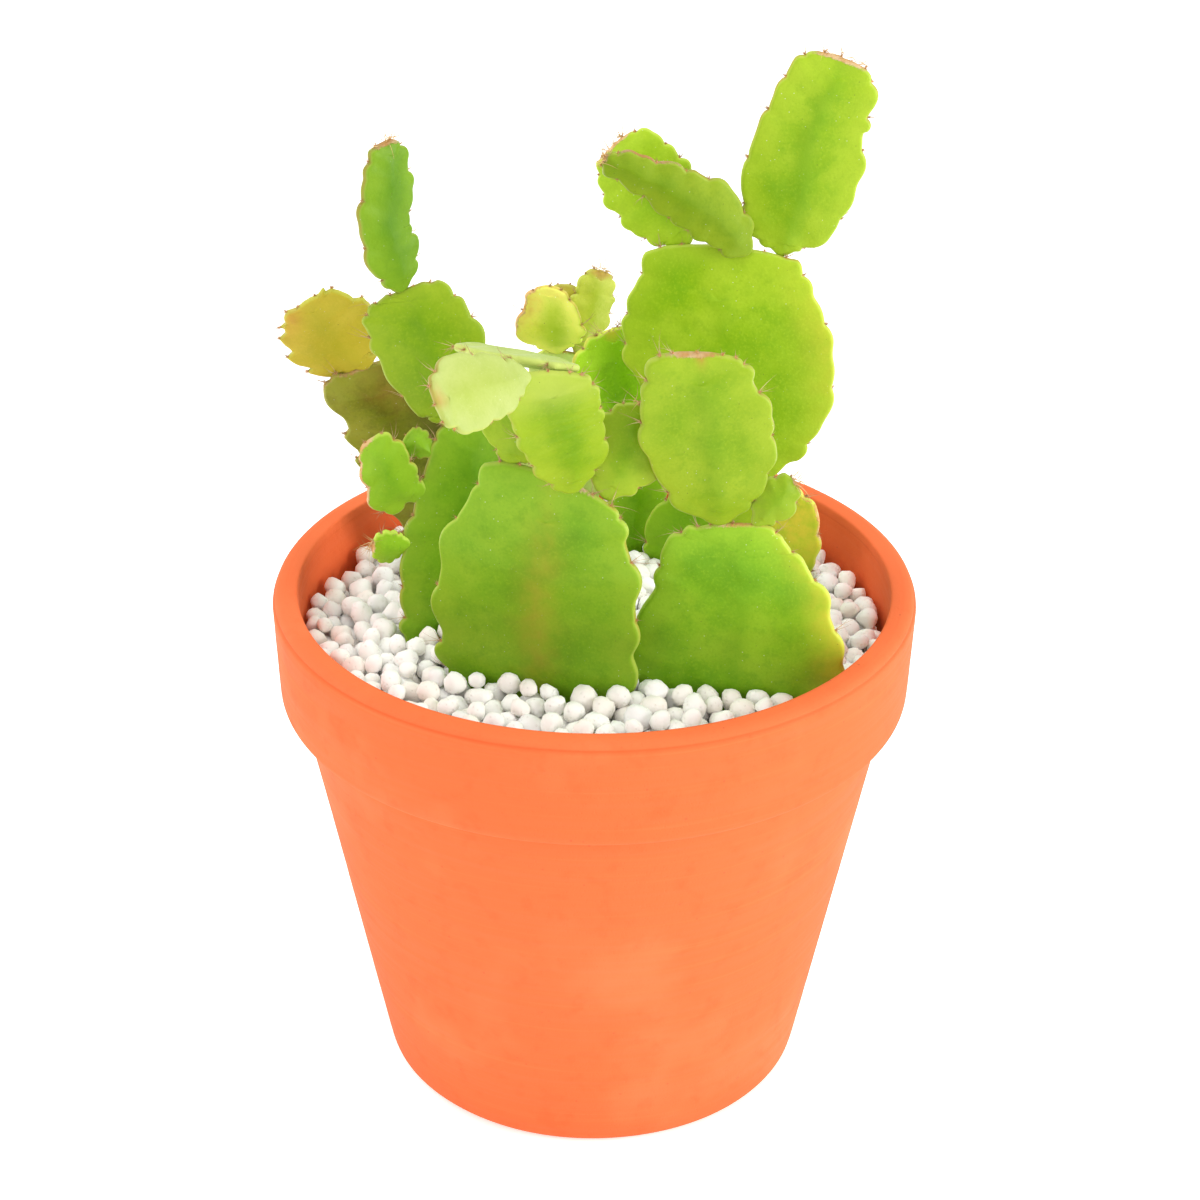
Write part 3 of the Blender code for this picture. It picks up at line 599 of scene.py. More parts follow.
def pad_material(slot):
    """Waxy cactus skin of one finish, made once."""
    if slot + "_skin" in bpy.data.materials:
        return bpy.data.materials[slot + "_skin"]
    pads = bpy.context.scene.cactus_pads
    flesh, deep, light = PAD_COLOURS[slot]
    made, tree, shader = new_material(slot + "_skin")
    skin = place_group(tree, skin_group(), {
        "Flesh": rgba(flesh), "Deep": rgba(deep), "Light": rgba(light),
        "Margin": rgba(pads.margin), "Yellow": rgba(pads.yellow),
        "Cork": rgba(pads.cork), "Rust": rgba(pads.rust),
    })
    tree.links.new(skin["Color"], shader.inputs["Base Color"])
    tree.links.new(skin["Roughness"], shader.inputs["Roughness"])
    shader.inputs["Specular IOR Level"].default_value = 0.14
    bumped(tree, shader, skin["Height"], 0.14 * MM, 0.8)
    return made


def fibre_material(name, foot, tip):
    """A fibre or spine that changes colour from foot to tip, each a little different."""
    made, tree, shader = new_material(name)
    tone = painted(tree, "tone")
    colour = blended(tree, ramped(tree, painted(tree, "reach"), 0.35, 1.0), rgba(foot), rgba(tip))
    colour = blended(tree, maths(tree, "MULTIPLY", tone, 0.55), colour, rgba(tip))
    tree.links.new(colour, shader.inputs["Base Color"])
    tree.links.new(ramped(tree, tone, 0.0, 1.0, 0.45, 0.75), shader.inputs["Roughness"])
    return made


# ---------------------------------------------------------------- meshes

def merged_copy(node):
    """A node's mesh with its loose triangles joined at their corners."""
    mesh = bmesh.new()
    mesh.from_mesh(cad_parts[node].data)
    bmesh.ops.remove_doubles(mesh, verts=mesh.verts, dist=MERGE)
    mesh.normal_update()
    return mesh


def new_piece(name, mesh, finish, slot, *nodes):
    """Puts a finished mesh in the scene, riding on the body, in place of CAD nodes."""
    piece = bpy.data.objects.new(name, mesh)
    bpy.context.scene.collection.objects.link(piece)
    if finish:
        mesh.materials.clear()
        mesh.materials.append(finish)
    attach(piece, BODY)
    if nodes:
        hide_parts(*nodes)
    return piece


def closed_mesh(name, points, faces, values=None):
    """A smooth closed mesh from points, faces and values painted on the points."""
    data = bpy.data.meshes.new(name)
    data.from_pydata([tuple(point) for point in points], [], faces)
    for key, painting in (values or {}).items():
        layer = data.attributes.new(key, "FLOAT", "POINT")
        layer.data.foreach_set("value", np.asarray(painting, np.float32))
    mesh = bmesh.new()
    mesh.from_mesh(data)
    bmesh.ops.remove_doubles(mesh, verts=mesh.verts, dist=0.0002 * MM)
    bmesh.ops.recalc_face_normals(mesh, faces=mesh.faces)
    mesh.to_mesh(data)
    mesh.free()
    data.shade_smooth()
    return data


# ---------------------------------------------------------------- pot

def pot_profile():
    """The pot's closed outline as (radius, height), read from the solid's own outline."""
    mesh = merged_copy("pot")
    flat = {v.index: (v.co.x, v.co.z) for v in mesh.verts if abs(v.co.y) < MERGE and v.co.x > 0}
    links = {}
    for edge in mesh.edges:
        one, other = (v.index for v in edge.verts)
        if one in flat and other in flat:
            links.setdefault(one, []).append(other)
            links.setdefault(other, []).append(one)
    mesh.free()
    start = min(links, key=lambda index: flat[index])
    loop = [start, links[start][0]]
    while loop[-1] != start:
        one, other = links[loop[-1]][:2]
        loop.append(other if one == loop[-2] else one)
    return np.array([flat[index] for index in loop[:-1]])


def eased(profile, spacing, passes):
    """The closed outline with its corners softened, and points kept only where it bends."""
    points = []
    for start, end in zip(profile, np.roll(profile, -1, axis=0)):
        steps = max(1, round(float(np.linalg.norm(end - start)) / spacing))
        points += [start + (end - start) * step / steps for step in range(steps)]
    points = np.array(points)
    for _ in range(passes):
        points = points / 2 + (np.roll(points, 1, axis=0) + np.roll(points, -1, axis=0)) / 4
    kept = []
    for index, point in enumerate(points):
        before, after = points[index - 1], points[(index + 1) % len(points)]
        ahead, behind = after - point, point - before
        bend = abs(ahead[0] * behind[1] - ahead[1] * behind[0])
        bend /= np.linalg.norm(ahead) * np.linalg.norm(behind)
        if bend > 0.004 or index % 12 == 0:
            kept.append(point)
    return np.array(kept)


def squared_mouth(profile, top):
    """The outline with the round of the mouth's inner edge drawn out to a firmer corner."""
    mouth = min(radius for radius, height in profile if top - 4 * MM < height < top - 2 * MM)
    size = 1.8 * MM
    centre = np.array([mouth + size, top - size])
    made = profile.copy()
    for point in made:
        away = (point - centre) / size
        if away[0] < 0 < away[1]:
            point[:] = centre + away * size / max(-away[0], away[1]) ** 0.75
    return made


def turned_clay(settings):
    """The pot turned from its outline, with a throwing wobble and a groove below the lip, and with painted
    shadow in that groove, under the band's step and on the inner wall.
    """
    outline = pot_profile()
    top = outline[:, 1].max()
    widest = outline[:, 0].max()
    groove_height = top - 1.15 * MM
    runs = zip(outline, np.roll(outline, -1, axis=0))
    steps = [(abs(end[0] - start[0]), start[1]) for start, end in runs if abs(end[1] - start[1]) < 0.05 * MM]
    step_height = max(run for run in steps if 0.5 * top < run[1] < 0.95 * top)[1]
    profile = squared_mouth(eased(outline, 0.16 * MM, 6), top)
    points, edge, inside, groove_and_step_shadow = [], [], [], []
    for radius, height in profile:
        # How much painted shadow lies in the groove below the lip and under the band's step; the groove is
        # also cut in by it.
        line = 0.0
        if radius > widest - 1.2 * MM:
            line = math.exp(-((height - groove_height) / (0.24 * MM)) ** 2)
            radius -= settings.groove * line
        elif radius > widest - 5 * MM:
            line = 0.8 * math.exp(-((height - step_height + 0.3 * MM) / (0.5 * MM)) ** 2)
        # The inner wall, where painted shadow is laid.
        inner = height > 6.5 * MM and radius < widest - 3.6 * MM - (top - height) * 0.19
        near_lip = max(0.0, 1.0 - (top - height) / (2.4 * MM))
        for step in range(settings.steps):
            angle = 2 * math.pi * step / settings.steps
            around = Vector((math.cos(angle), math.sin(angle), height * 22))
            stray = settings.wobble * noise.noise(around * 1.6)
            stray += settings.wobble * 0.25 * noise.noise(Vector((angle * 0.4, 0.0, height * 700)))
            reach = radius + stray
            points.append((reach * math.cos(angle), reach * math.sin(angle), height))
            edge.append(near_lip)
            groove_and_step_shadow.append(line)
            inside.append(1.0 if inner else 0.0)
    faces = []
    count = len(profile)
    for row in range(count):
        below = (row + 1) % count * settings.steps
        for step in range(settings.steps):
            after = (step + 1) % settings.steps
            faces.append((
                row * settings.steps + step, row * settings.steps + after,
                below + after, below + step,
            ))
    return closed_mesh("pot_clay", points, faces, {"edge": edge, "inside": inside, "line": groove_and_step_shadow})


# ---------------------------------------------------------------- pads

def traced(ends):
    """The one closed loop that edges form, as vertices in order, or nothing."""
    links = {}
    for start, end in ends:
        links.setdefault(start, []).append(end)
        links.setdefault(end, []).append(start)
    if any(len(found) != 2 for found in links.values()):
        return None
    first = min(links)
    loop = [first, links[first][0]]
    while loop[-1] != first:
        one, other = links[loop[-1]]
        loop.append(other if one == loop[-2] else one)
    return loop[:-1] if len(loop) == len(links) + 1 else None


def margin_loop(mesh, axes, points):
    """The vertices in order where a pad's front and back faces meet.

    The facing direction is leaned, rolled, bent and twisted in many ways. Of the ways that
    part the faces along one loop of the right length, the sharpest-edged is the margin.
    """
    rows = (len(mesh.verts) + 6) // 8
    normals = np.array([face.normal for face in mesh.faces])
    middles = np.array([face.calc_center_median() for face in mesh.faces]) - points.mean(axis=0)
    along = middles @ axes[:, 2]
    along = along[:, None] / np.abs(along).max()
    sides = np.array([[face.index for face in edge.link_faces] for edge in mesh.edges])
    ends = np.array([[vertex.index for vertex in edge.verts] for edge in mesh.edges])
    angles = np.array([edge.calc_face_angle() for edge in mesh.edges])
    best, sharpest = None, 0.0
    tilts = (-0.4, -0.3, -0.2, -0.1, 0.0, 0.1, 0.2, 0.3, 0.4)
    for lean, roll, bend, twist in itertools.product(tilts, tilts, tilts[::2], tilts[::2]):
        facing = axes[:, 0] + (lean + twist * along) * axes[:, 1] + (roll + bend * along) * axes[:, 2]
        front = (normals * facing).sum(axis=1) > 0
        parting = front[sides[:, 0]] != front[sides[:, 1]]
        if parting.sum() != 2 * rows + 6 or angles[parting].sum() <= sharpest:
            continue
        loop = traced(ends[parting].tolist())
        if loop:
            best, sharpest = loop, angles[parting].sum()
    if not best:
        raise RuntimeError("a pad's margin can't be found")
    return best, rows


def curve_through(points, steps):
    """A smooth open curve through points, steps samples to a span, both ends included."""
    padded = np.vstack([2 * points[0] - points[1], points, 2 * points[-1] - points[-2]])
    made = []
    for index in range(1, len(padded) - 2):
        before, start, end, after = padded[index - 1:index + 3]
        for step in range(steps):
            t = step / steps
            made.append(0.5 * (
                2 * start + (end - before) * t
                + (2 * before - 5 * start + 4 * end - after) * t * t
                + (3 * start - before - 3 * end + after) * t ** 3
            ))
    made.append(points[-1])
    return np.array(made)


SIDE_STEPS = 5
TIP_STEPS = 5
BASE_STEPS = 2
NOTCH_TURN = math.radians(5)


def fine_side(points, hand):
    """One margin drawn finely, with a smooth lobe between its notches, and the notches' places."""
    runs = np.diff(points, axis=0)
    headings = np.unwrap(np.arctan2(runs[:, 1], runs[:, 0]))
    turns = hand * np.diff(headings)
    notches = [0]
    for index, turn in enumerate(turns, start=1):
        beside = turns[max(index - 2, 0):index + 1]
        if turn < NOTCH_TURN and turn <= beside.min() + 1e-9:
            notches.append(index)
    notches.append(len(points) - 1)
    fine = []
    for start, end in zip(notches, notches[1:]):
        fine.extend(curve_through(points[start:end + 1], SIDE_STEPS)[:-1])
    fine.append(points[-1])
    return np.array(fine), [index * SIDE_STEPS for index in notches]


def distance_to_line(places, start, end):
    """Distance of many flat points to many segments, one row per point."""
    run = end - start
    reach = np.maximum((run ** 2).sum(-1), 1e-18)
    offset = places[:, None, :] - start[None, :, :]
    share = np.clip((offset * run[None]).sum(-1) / reach, 0.0, 1.0)
    nearest = start[None] + share[..., None] * run[None]
    return np.linalg.norm(places[:, None, :] - nearest, axis=-1)


class PadPlan:
    """A pad read from its solid: flat outline, spine, middle surface and thickness."""

    def __init__(self, name, parent):
        self.name = name
        self.seed = sum(ord(letter) for letter in name) % 97
        self.rooted = parent is None
        mesh = merged_copy(name)
        points = np.array([v.co for v in mesh.verts])
        self.centre = points.mean(axis=0)
        _, axes = np.linalg.eigh(np.cov((points - self.centre).T))
        loop, rows = margin_loop(mesh, axes, points)
        mesh.free()
        ring = points[loop]
        self.facing = axes[:, 0] * (1.0 if Vector(axes[:, 0]).dot(SHOW_SIDE) > 0 else -1.0)
        ring = np.roll(ring, -self.joint_index(ring, parent), axis=0)
        along = ring[len(ring) // 2] - ring[0]
        along -= self.facing * along.dot(self.facing)
        self.along = along / np.linalg.norm(along)
        self.out = np.cross(self.along, self.facing)
        self.length = float(np.linalg.norm(along))
        self.fit_middle(points)
        self.draw(self.flat(ring)[:, :2], rows)

    def joint_index(self, ring, parent):
        """Which point of the ring is the middle of the neck's end."""
        if parent is None:
            return int(np.argmin(ring[:, 2]))
        mesh = merged_copy(parent)
        bearer = BVHTree.FromBMesh(mesh)
        mesh.free()
        widths = np.linalg.norm(np.roll(ring, -2, axis=0) - np.roll(ring, 2, axis=0), axis=1)
        away = np.array([bearer.find_nearest(Vector(point))[3] for point in ring])
        return int(np.argmin(away + 0.3 * widths))

    def flat(self, points):
        local = points - self.centre
        return np.stack([local @ self.along, local @ self.out, local @ self.facing], axis=-1)

    def terms(self, flat):
        a, b = flat[:, 0] / self.length, flat[:, 1] / self.length
        return np.stack([a ** i * b ** j for i in range(4) for j in range(3)], axis=-1)

    def fit_middle(self, points):
        """The smooth surface halfway between the solid's two faces."""
        flat = self.flat(points)
        terms = self.terms(flat)
        self.shape = np.linalg.lstsq(terms, flat[:, 2], rcond=None)[0]
        self.half = float(np.abs(flat[:, 2] - terms @ self.shape).max())

    def place(self, flat, raised):
        """World points from flat ones and how far each is raised off the middle surface."""
        height = self.terms(flat) @ self.shape + raised
        return (
            self.centre + flat[:, :1] * self.along + flat[:, 1:2] * self.out
            + height[:, None] * self.facing
        )

    def scallop(self, side, notches, hand):
        """Swells each lobe towards its upper notch, and sets the notch in with a step."""
        pads = bpy.context.scene.cactus_pads
        runs = np.gradient(side, axis=0)
        normals = np.stack([-runs[:, 1], runs[:, 0]], axis=-1) * hand
        normals /= np.maximum(np.linalg.norm(normals, axis=1), 1e-9)[:, None]
        shift = np.zeros(len(side))
        for start, end in zip(notches, notches[1:]):
            length = np.linalg.norm(np.diff(side[start:end + 1], axis=0), axis=1).sum()
            share = np.linspace(0.0, 1.0, end - start + 1)
            reach = pads.scallop * min(1.0, length / (5 * MM))
            form = np.sin(math.pi * share ** 1.35) - 0.35 * (1 - share) ** 6 - 0.55 * share ** 14
            shift[start:end + 1] = reach * form
        shift *= np.clip(np.minimum(np.arange(len(side)), np.arange(len(side))[::-1]) / 4, 0, 1)
        side += normals * shift[:, None]

    def draw(self, ring, rows):
        """The fine outline in order, each point's place along the pad, and the notches."""
        one = ring[2:2 + rows]
        other = ring[[-2 - row for row in range(rows)]]
        tip = ring[rows + 1:rows + 6]
        base = np.vstack([ring[-2:], ring[:3]])
        if one[:, 1].sum() < other[:, 1].sum():
            one, other, tip, base = other, one, tip[::-1], base[::-1]
        right, right_notches = fine_side(one, 1.0)
        left, left_notches = fine_side(other, -1.0)
        tip = curve_through(tip, TIP_STEPS)[1:-1]
        base = curve_through(base, BASE_STEPS)[1:-1]
        count = len(right)
        share = np.linspace(0.0, 1.0, count)
        outline = np.vstack([right, tip, left[::-1], base])
        self.share = np.concatenate([share, np.ones(len(tip)), share[::-1], np.zeros(len(base))])
        for index in range(count, count + len(tip)):
            wave = noise.noise(Vector((index * 0.55, self.seed, 0.0)))
            outline[index, 0] += min(0.30 * MM, self.length * 0.02) * wave
        for _ in range(2):
            outline = outline / 2 + (np.roll(outline, 1, axis=0) + np.roll(outline, -1, axis=0)) / 4
        self.scallop(outline[:count], right_notches, 1.0)
        left = outline[count + len(tip):2 * count + len(tip)][::-1]
        self.scallop(left, left_notches, -1.0)
        if not self.rooted:
            sunk = bpy.context.scene.cactus_pads.sunk
            outline[:, 0] -= sunk * np.clip(1.0 - self.share / 0.08, 0.0, 1.0)
        self.outline = outline
        self.spine = (outline[:count] + outline[count + len(tip):2 * count + len(tip)][::-1]) / 2
        neck = np.linalg.norm(right[0] - left[0]) / 2
        blunt = np.linalg.norm(right[-1] - left[-1]) / 2
        run = np.concatenate([[0], np.cumsum(np.linalg.norm(np.diff(self.spine, axis=0), axis=1))])
        low = min(neck, 0.25 * run[-1])
        high = run[-1] - min(max(0.8 * blunt, 0.08 * run[-1]), 0.35 * run[-1])
        first, last = int(np.searchsorted(run, low)), int(np.searchsorted(run, high))
        steps = np.round(self.share * (count - 1)).astype(int)
        self.target = self.spine[np.clip(steps, first, last)]
        left_start = 2 * count + len(tip) - 1
        self.notches = right_notches[1:] + [left_start - index for index in left_notches[1:]]
        if self.name in TEETH:
            outward = outline - self.target
            outward /= np.linalg.norm(outward, axis=1)[:, None]
            for notch in self.notches:
                step = -1 if notch < count else 1
                for behind, height in enumerate((0.95, 1.0, 0.62, 0.38, 0.2, 0.08)):
                    outline[notch + step * behind] += (
                        outward[notch + step * behind] * TEETH[self.name] * height
                    )
        self.tip_points = list(range(count + 3, count + len(tip) - 3, 6))
        self.width = np.linalg.norm(right - left, axis=1).max() / 2


RIM_STEPS = (0.0, 0.05, 0.2, 0.42, 0.72, 1.15)
INNER_STEPS = (0.16, 0.34, 0.52, 0.68, 0.82, 0.93, 1.0)


def pad_surface(plan, marks):
    """A pad's flesh: rounded margins, a midrib, creases from the notches, and its marks."""
    pads = bpy.context.scene.cactus_pads
    outline, target, share = plan.outline, plan.target, plan.share
    count = len(outline)
    gap = np.maximum(np.linalg.norm(target - outline, axis=1), 1e-6)
    rim = min(pads.rim, 0.55 * plan.half)
    depths = [np.minimum(step * rim / gap, 0.42 * step / RIM_STEPS[-1]) for step in RIM_STEPS]
    depths += [depths[-1] + (1 - depths[-1]) * step for step in INNER_STEPS]
    flat = np.vstack([outline + (target - outline) * depth[:, None] for depth in depths])
    rings = len(depths)
    along = np.tile(share, rings)
    to_spine = np.concatenate([(1 - depth) * gap for depth in depths])
    middle = np.tile(target, (rings, 1))
    half_width = np.interp(share, np.linspace(0, 1, len(plan.spine)), local_width(plan))
    across = np.clip((flat[:, 1] - middle[:, 1]) / np.tile(half_width, rings), -1.2, 1.2)

    ends = np.roll(outline, -1, axis=0)
    margin = distance_to_line(flat, outline, ends).min(axis=1)
    margin[:count] = 0.0
    deepest = margin.max()
    curl = np.clip(margin / rim, 0.0, 1.0)
    half = rim * np.sqrt(np.clip(1.0 - (1.0 - curl) ** 2, 0.0, 1.0))
    rise = np.clip((margin - rim) / max(deepest - rim, 1e-6), 0.0, 1.0)
    half += (plan.half - rim) * (1.0 - (1.0 - rise) ** 2)

    fade = np.clip(along / 0.15, 0, 1) * np.clip((1.02 - along) / 0.2, 0, 1)
    inward = np.clip(margin / (1.6 * MM), 0.0, 1.0)
    half += pads.rib * np.exp(-(to_spine / pads.rib_width) ** 2) * fade * inward
    spots = [index for index in plan.notches if 0.06 < share[index] < 0.97]
    if spots:
        feet = plan.spine[np.clip(((share[spots] - 0.09) * (len(plan.spine) - 1)).astype(int), 0, None)]
        crease = distance_to_line(flat, outline[spots], feet).min(axis=1)
        furrow = np.exp(-(crease / (0.75 * MM)) ** 2)
        half -= pads.crease * furrow * inward * np.clip(to_spine / (2 * MM), 0, 1)

    values = {key: np.zeros(len(flat)) for key in PAINTED + ("wrinkle", "ring")}
    for kind, strength, where, spread, side, side_spread in marks:
        touch = np.exp(-((along - where) / spread) ** 2) * np.exp(-((across - side) / side_spread) ** 2)
        if kind == "cork":
            touch *= np.exp(-(margin / (0.55 * MM)) ** 2)
        elif where > 0.97:
            touch *= np.exp(-(margin / (1.6 * MM)) ** 2)
        values[kind] = np.maximum(values[kind], strength * touch)
    wavy = np.array([noise.noise(Vector((a * 160, b * 90, plan.seed))) for a, b in flat])
    half += 0.045 * MM * values.pop("wrinkle") * np.sin(flat[:, 0] / (0.24 * MM) + 9.0 * wavy) * inward
    half += 0.16 * MM * values.pop("ring") * np.sin(flat[:, 0] / (0.30 * MM) + 2.5 * wavy) * inward

    flutter = np.array([
        noise.noise(Vector((a * 130 + plan.seed, b * 60, plan.seed * 1.7))) for a, b in flat
    ])
    lift = pads.ripple * flutter * np.exp(-margin / (3.0 * MM)) * min(1.0, plan.width / (6 * MM))
    sides = []
    for facing in (1.0, -1.0):
        swell = np.array([
            noise.noise(Vector((a * 190, b * 190, plan.seed * 2.3 + 9.0 * facing))) for a, b in flat
        ])
        thick = half + pads.swell * swell * inward
        thick[:count] = 0.0
        sides.append(plan.place(flat, lift + facing * np.maximum(thick, 0.0)))
    points = np.vstack([sides[0], sides[1][count:]])
    faces = []
    for ring in range(rings - 1):
        for step in range(count):
            after = (step + 1) % count
            front = (
                ring * count + step, ring * count + after,
                (ring + 1) * count + after, (ring + 1) * count + step,
            )
            faces.append(front)
            back = [index if index < count else index + (rings - 1) * count for index in front]
            faces.append(tuple(reversed(back)))
    values["margin"] = margin / MM
    values["rib"] = to_spine / MM
    # Each pad's brightness, partly its own colour and partly painted light and shadow.
    values["tone"] = np.full(len(flat), TONES_AND_PAINTED_LIGHT.get(plan.name, 1.0))
    values = {key: np.concatenate([value, value[count:]]) for key, value in values.items()}
    return closed_mesh(plan.name + "_flesh", points, faces, values)


def local_width(plan):
    """Half the pad's width at each point of its spine."""
    count = len(plan.spine)
    right = plan.outline[:count, 1]
    return np.maximum(right - plan.spine[:, 1], 0.4 * MM)


def pad_areoles(plan):
    """Where wool and spines stand on a pad, as (point, direction, size, is at the tip)."""
    found = []
    bed_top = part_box("pebble_bed")[1].z
    size = min(1.0, 0.45 + plan.width / (16 * MM))
    for index in plan.notches + plan.tip_points:
        at_tip = index in plan.tip_points
        flat = plan.outline[index][None]
        outward = plan.outline[index] - plan.target[index]
        outward = outward / max(np.linalg.norm(outward), 1e-9)
        aim = outward[0] * plan.along + outward[1] * plan.out + 0.45 * plan.along
        aim = Vector(aim).normalized()
        point = Vector(plan.place(flat, np.zeros(1))[0]) - aim * (0.05 * MM)
        crowded = any((point - other[0]).length < 1.7 * MM for other in found)
        if point.z > bed_top + 1.0 * MM and not crowded:
            found.append((point, aim, size * (0.8 if at_tip else 1.0), at_tip))
    return found


# ---------------------------------------------------------------- geometry nodes

def tuft_tree():
    """Bristles on loose points: each point bears a number of them, spread about its aim."""
    name = "tufts"
    if name in bpy.data.node_groups:
        return bpy.data.node_groups[name]
    tree, given, result = new_group(
        name, "GeometryNodeTree",
        [
            ("Points", "NodeSocketGeometry", None),
            ("Count", "NodeSocketInt", 1),
            ("Length", "NodeSocketFloat", 1.0 * MM),
            ("Radius", "NodeSocketFloat", 0.05 * MM),
            ("Spread", "NodeSocketFloat", 0.3),
            ("Bend", "NodeSocketFloat", 0.2),
            ("Scatter", "NodeSocketFloat", 0.0),
            ("Sides", "NodeSocketInt", 4),
            ("Segments", "NodeSocketInt", 3),
            ("Seed", "NodeSocketInt", 1),
            ("Finish", "NodeSocketMaterial", None),
        ],
        [("Bristles", "NodeSocketGeometry")],
    )

    def chance(kind, low, high, shift):
        node = add(tree, "FunctionNodeRandomValue", data_type=kind)
        inputs = {"FLOAT": (2, 3), "FLOAT_VECTOR": (0, 1)}[kind]
        for socket, value in zip(inputs, (low, high)):
            node.inputs[socket].default_value = value
        tree.links.new(maths(tree, "ADD", given["Seed"], float(shift)), node.inputs["Seed"])
        return node.outputs[{"FLOAT": 1, "FLOAT_VECTOR": 0}[kind]]

    def vector(operation, *values):
        return add(tree, "ShaderNodeVectorMath", dict(enumerate(values)), operation=operation).outputs[0]

    copies = add(
        tree, "GeometryNodeDuplicateElements",
        {"Geometry": given["Points"], "Amount": given["Count"]}, domain="POINT",
    )
    aim = add(tree, "GeometryNodeInputNamedAttribute", {"Name": "aim"}, data_type="FLOAT_VECTOR").outputs[0]
    size = add(tree, "GeometryNodeInputNamedAttribute", {"Name": "size"}, data_type="FLOAT").outputs[0]
    strewn = add(tree, "GeometryNodeSetPosition", {
        "Geometry": copies.outputs[0],
        "Offset": vector("MULTIPLY", chance("FLOAT_VECTOR", (-1, -1, -1), (1, 1, 1), 11), given["Scatter"]),
    })
    jitter = vector("MULTIPLY", chance("FLOAT_VECTOR", (-1, -1, -1), (1, 1, 1), 1), given["Spread"])
    heading = add(tree, "FunctionNodeAlignRotationToVector", {"Vector": vector("ADD", aim, jitter)}, axis="Z")
    spin = add(tree, "FunctionNodeAxisAngleToRotation", {"Angle": chance("FLOAT", 0.0, 2 * math.pi, 2)})
    turned = add(
        tree, "FunctionNodeRotateRotation",
        {"Rotation": heading.outputs[0], "Rotate By": spin.outputs[0]}, rotation_space="LOCAL",
    )
    full_length = maths(tree, "MULTIPLY", given["Length"], size)
    length = maths(tree, "MULTIPLY", full_length, chance("FLOAT", 0.55, 1.2, 3))
    scale = add(tree, "ShaderNodeCombineXYZ", {0: given["Radius"], 1: given["Radius"], 2: length}).outputs[0]

    cone = add(tree, "GeometryNodeMeshCone", {
        "Vertices": given["Sides"], "Side Segments": given["Segments"],
        "Radius Top": 0.12, "Radius Bottom": 1.0, "Depth": 1.0,
    }, fill_type="NGON")
    position = add(tree, "GeometryNodeInputPosition").outputs[0]
    height = add(tree, "ShaderNodeSeparateXYZ", {0: position}).outputs[2]
    marked = add(
        tree, "GeometryNodeStoreNamedAttribute",
        {"Geometry": cone.outputs["Mesh"], "Name": "reach", "Value": height},
        data_type="FLOAT", domain="POINT",
    )
    lean = maths(tree, "MULTIPLY", maths(tree, "MULTIPLY", height, height), given["Bend"])
    in_radii = maths(tree, "DIVIDE", maths(tree, "MULTIPLY", lean, given["Length"]), given["Radius"])
    bent = add(tree, "GeometryNodeSetPosition", {
        "Geometry": marked.outputs[0],
        "Offset": add(tree, "ShaderNodeCombineXYZ", {0: in_radii}).outputs[0],
    })
    placed = add(tree, "GeometryNodeInstanceOnPoints", {
        "Points": strewn.outputs[0], "Instance": bent.outputs[0],
        "Rotation": turned.outputs[0], "Scale": scale,
    })
    toned = add(
        tree, "GeometryNodeStoreNamedAttribute",
        {"Geometry": placed.outputs[0], "Name": "tone", "Value": chance("FLOAT", 0.0, 1.0, 4)},
        data_type="FLOAT", domain="INSTANCE",
    )
    real = add(tree, "GeometryNodeRealizeInstances", {0: toned.outputs[0]})
    finish = add(tree, "GeometryNodeSetMaterial", {"Geometry": real.outputs[0], "Material": given["Finish"]})
    tree.links.new(finish.outputs[0], result["Bristles"])
    return tree


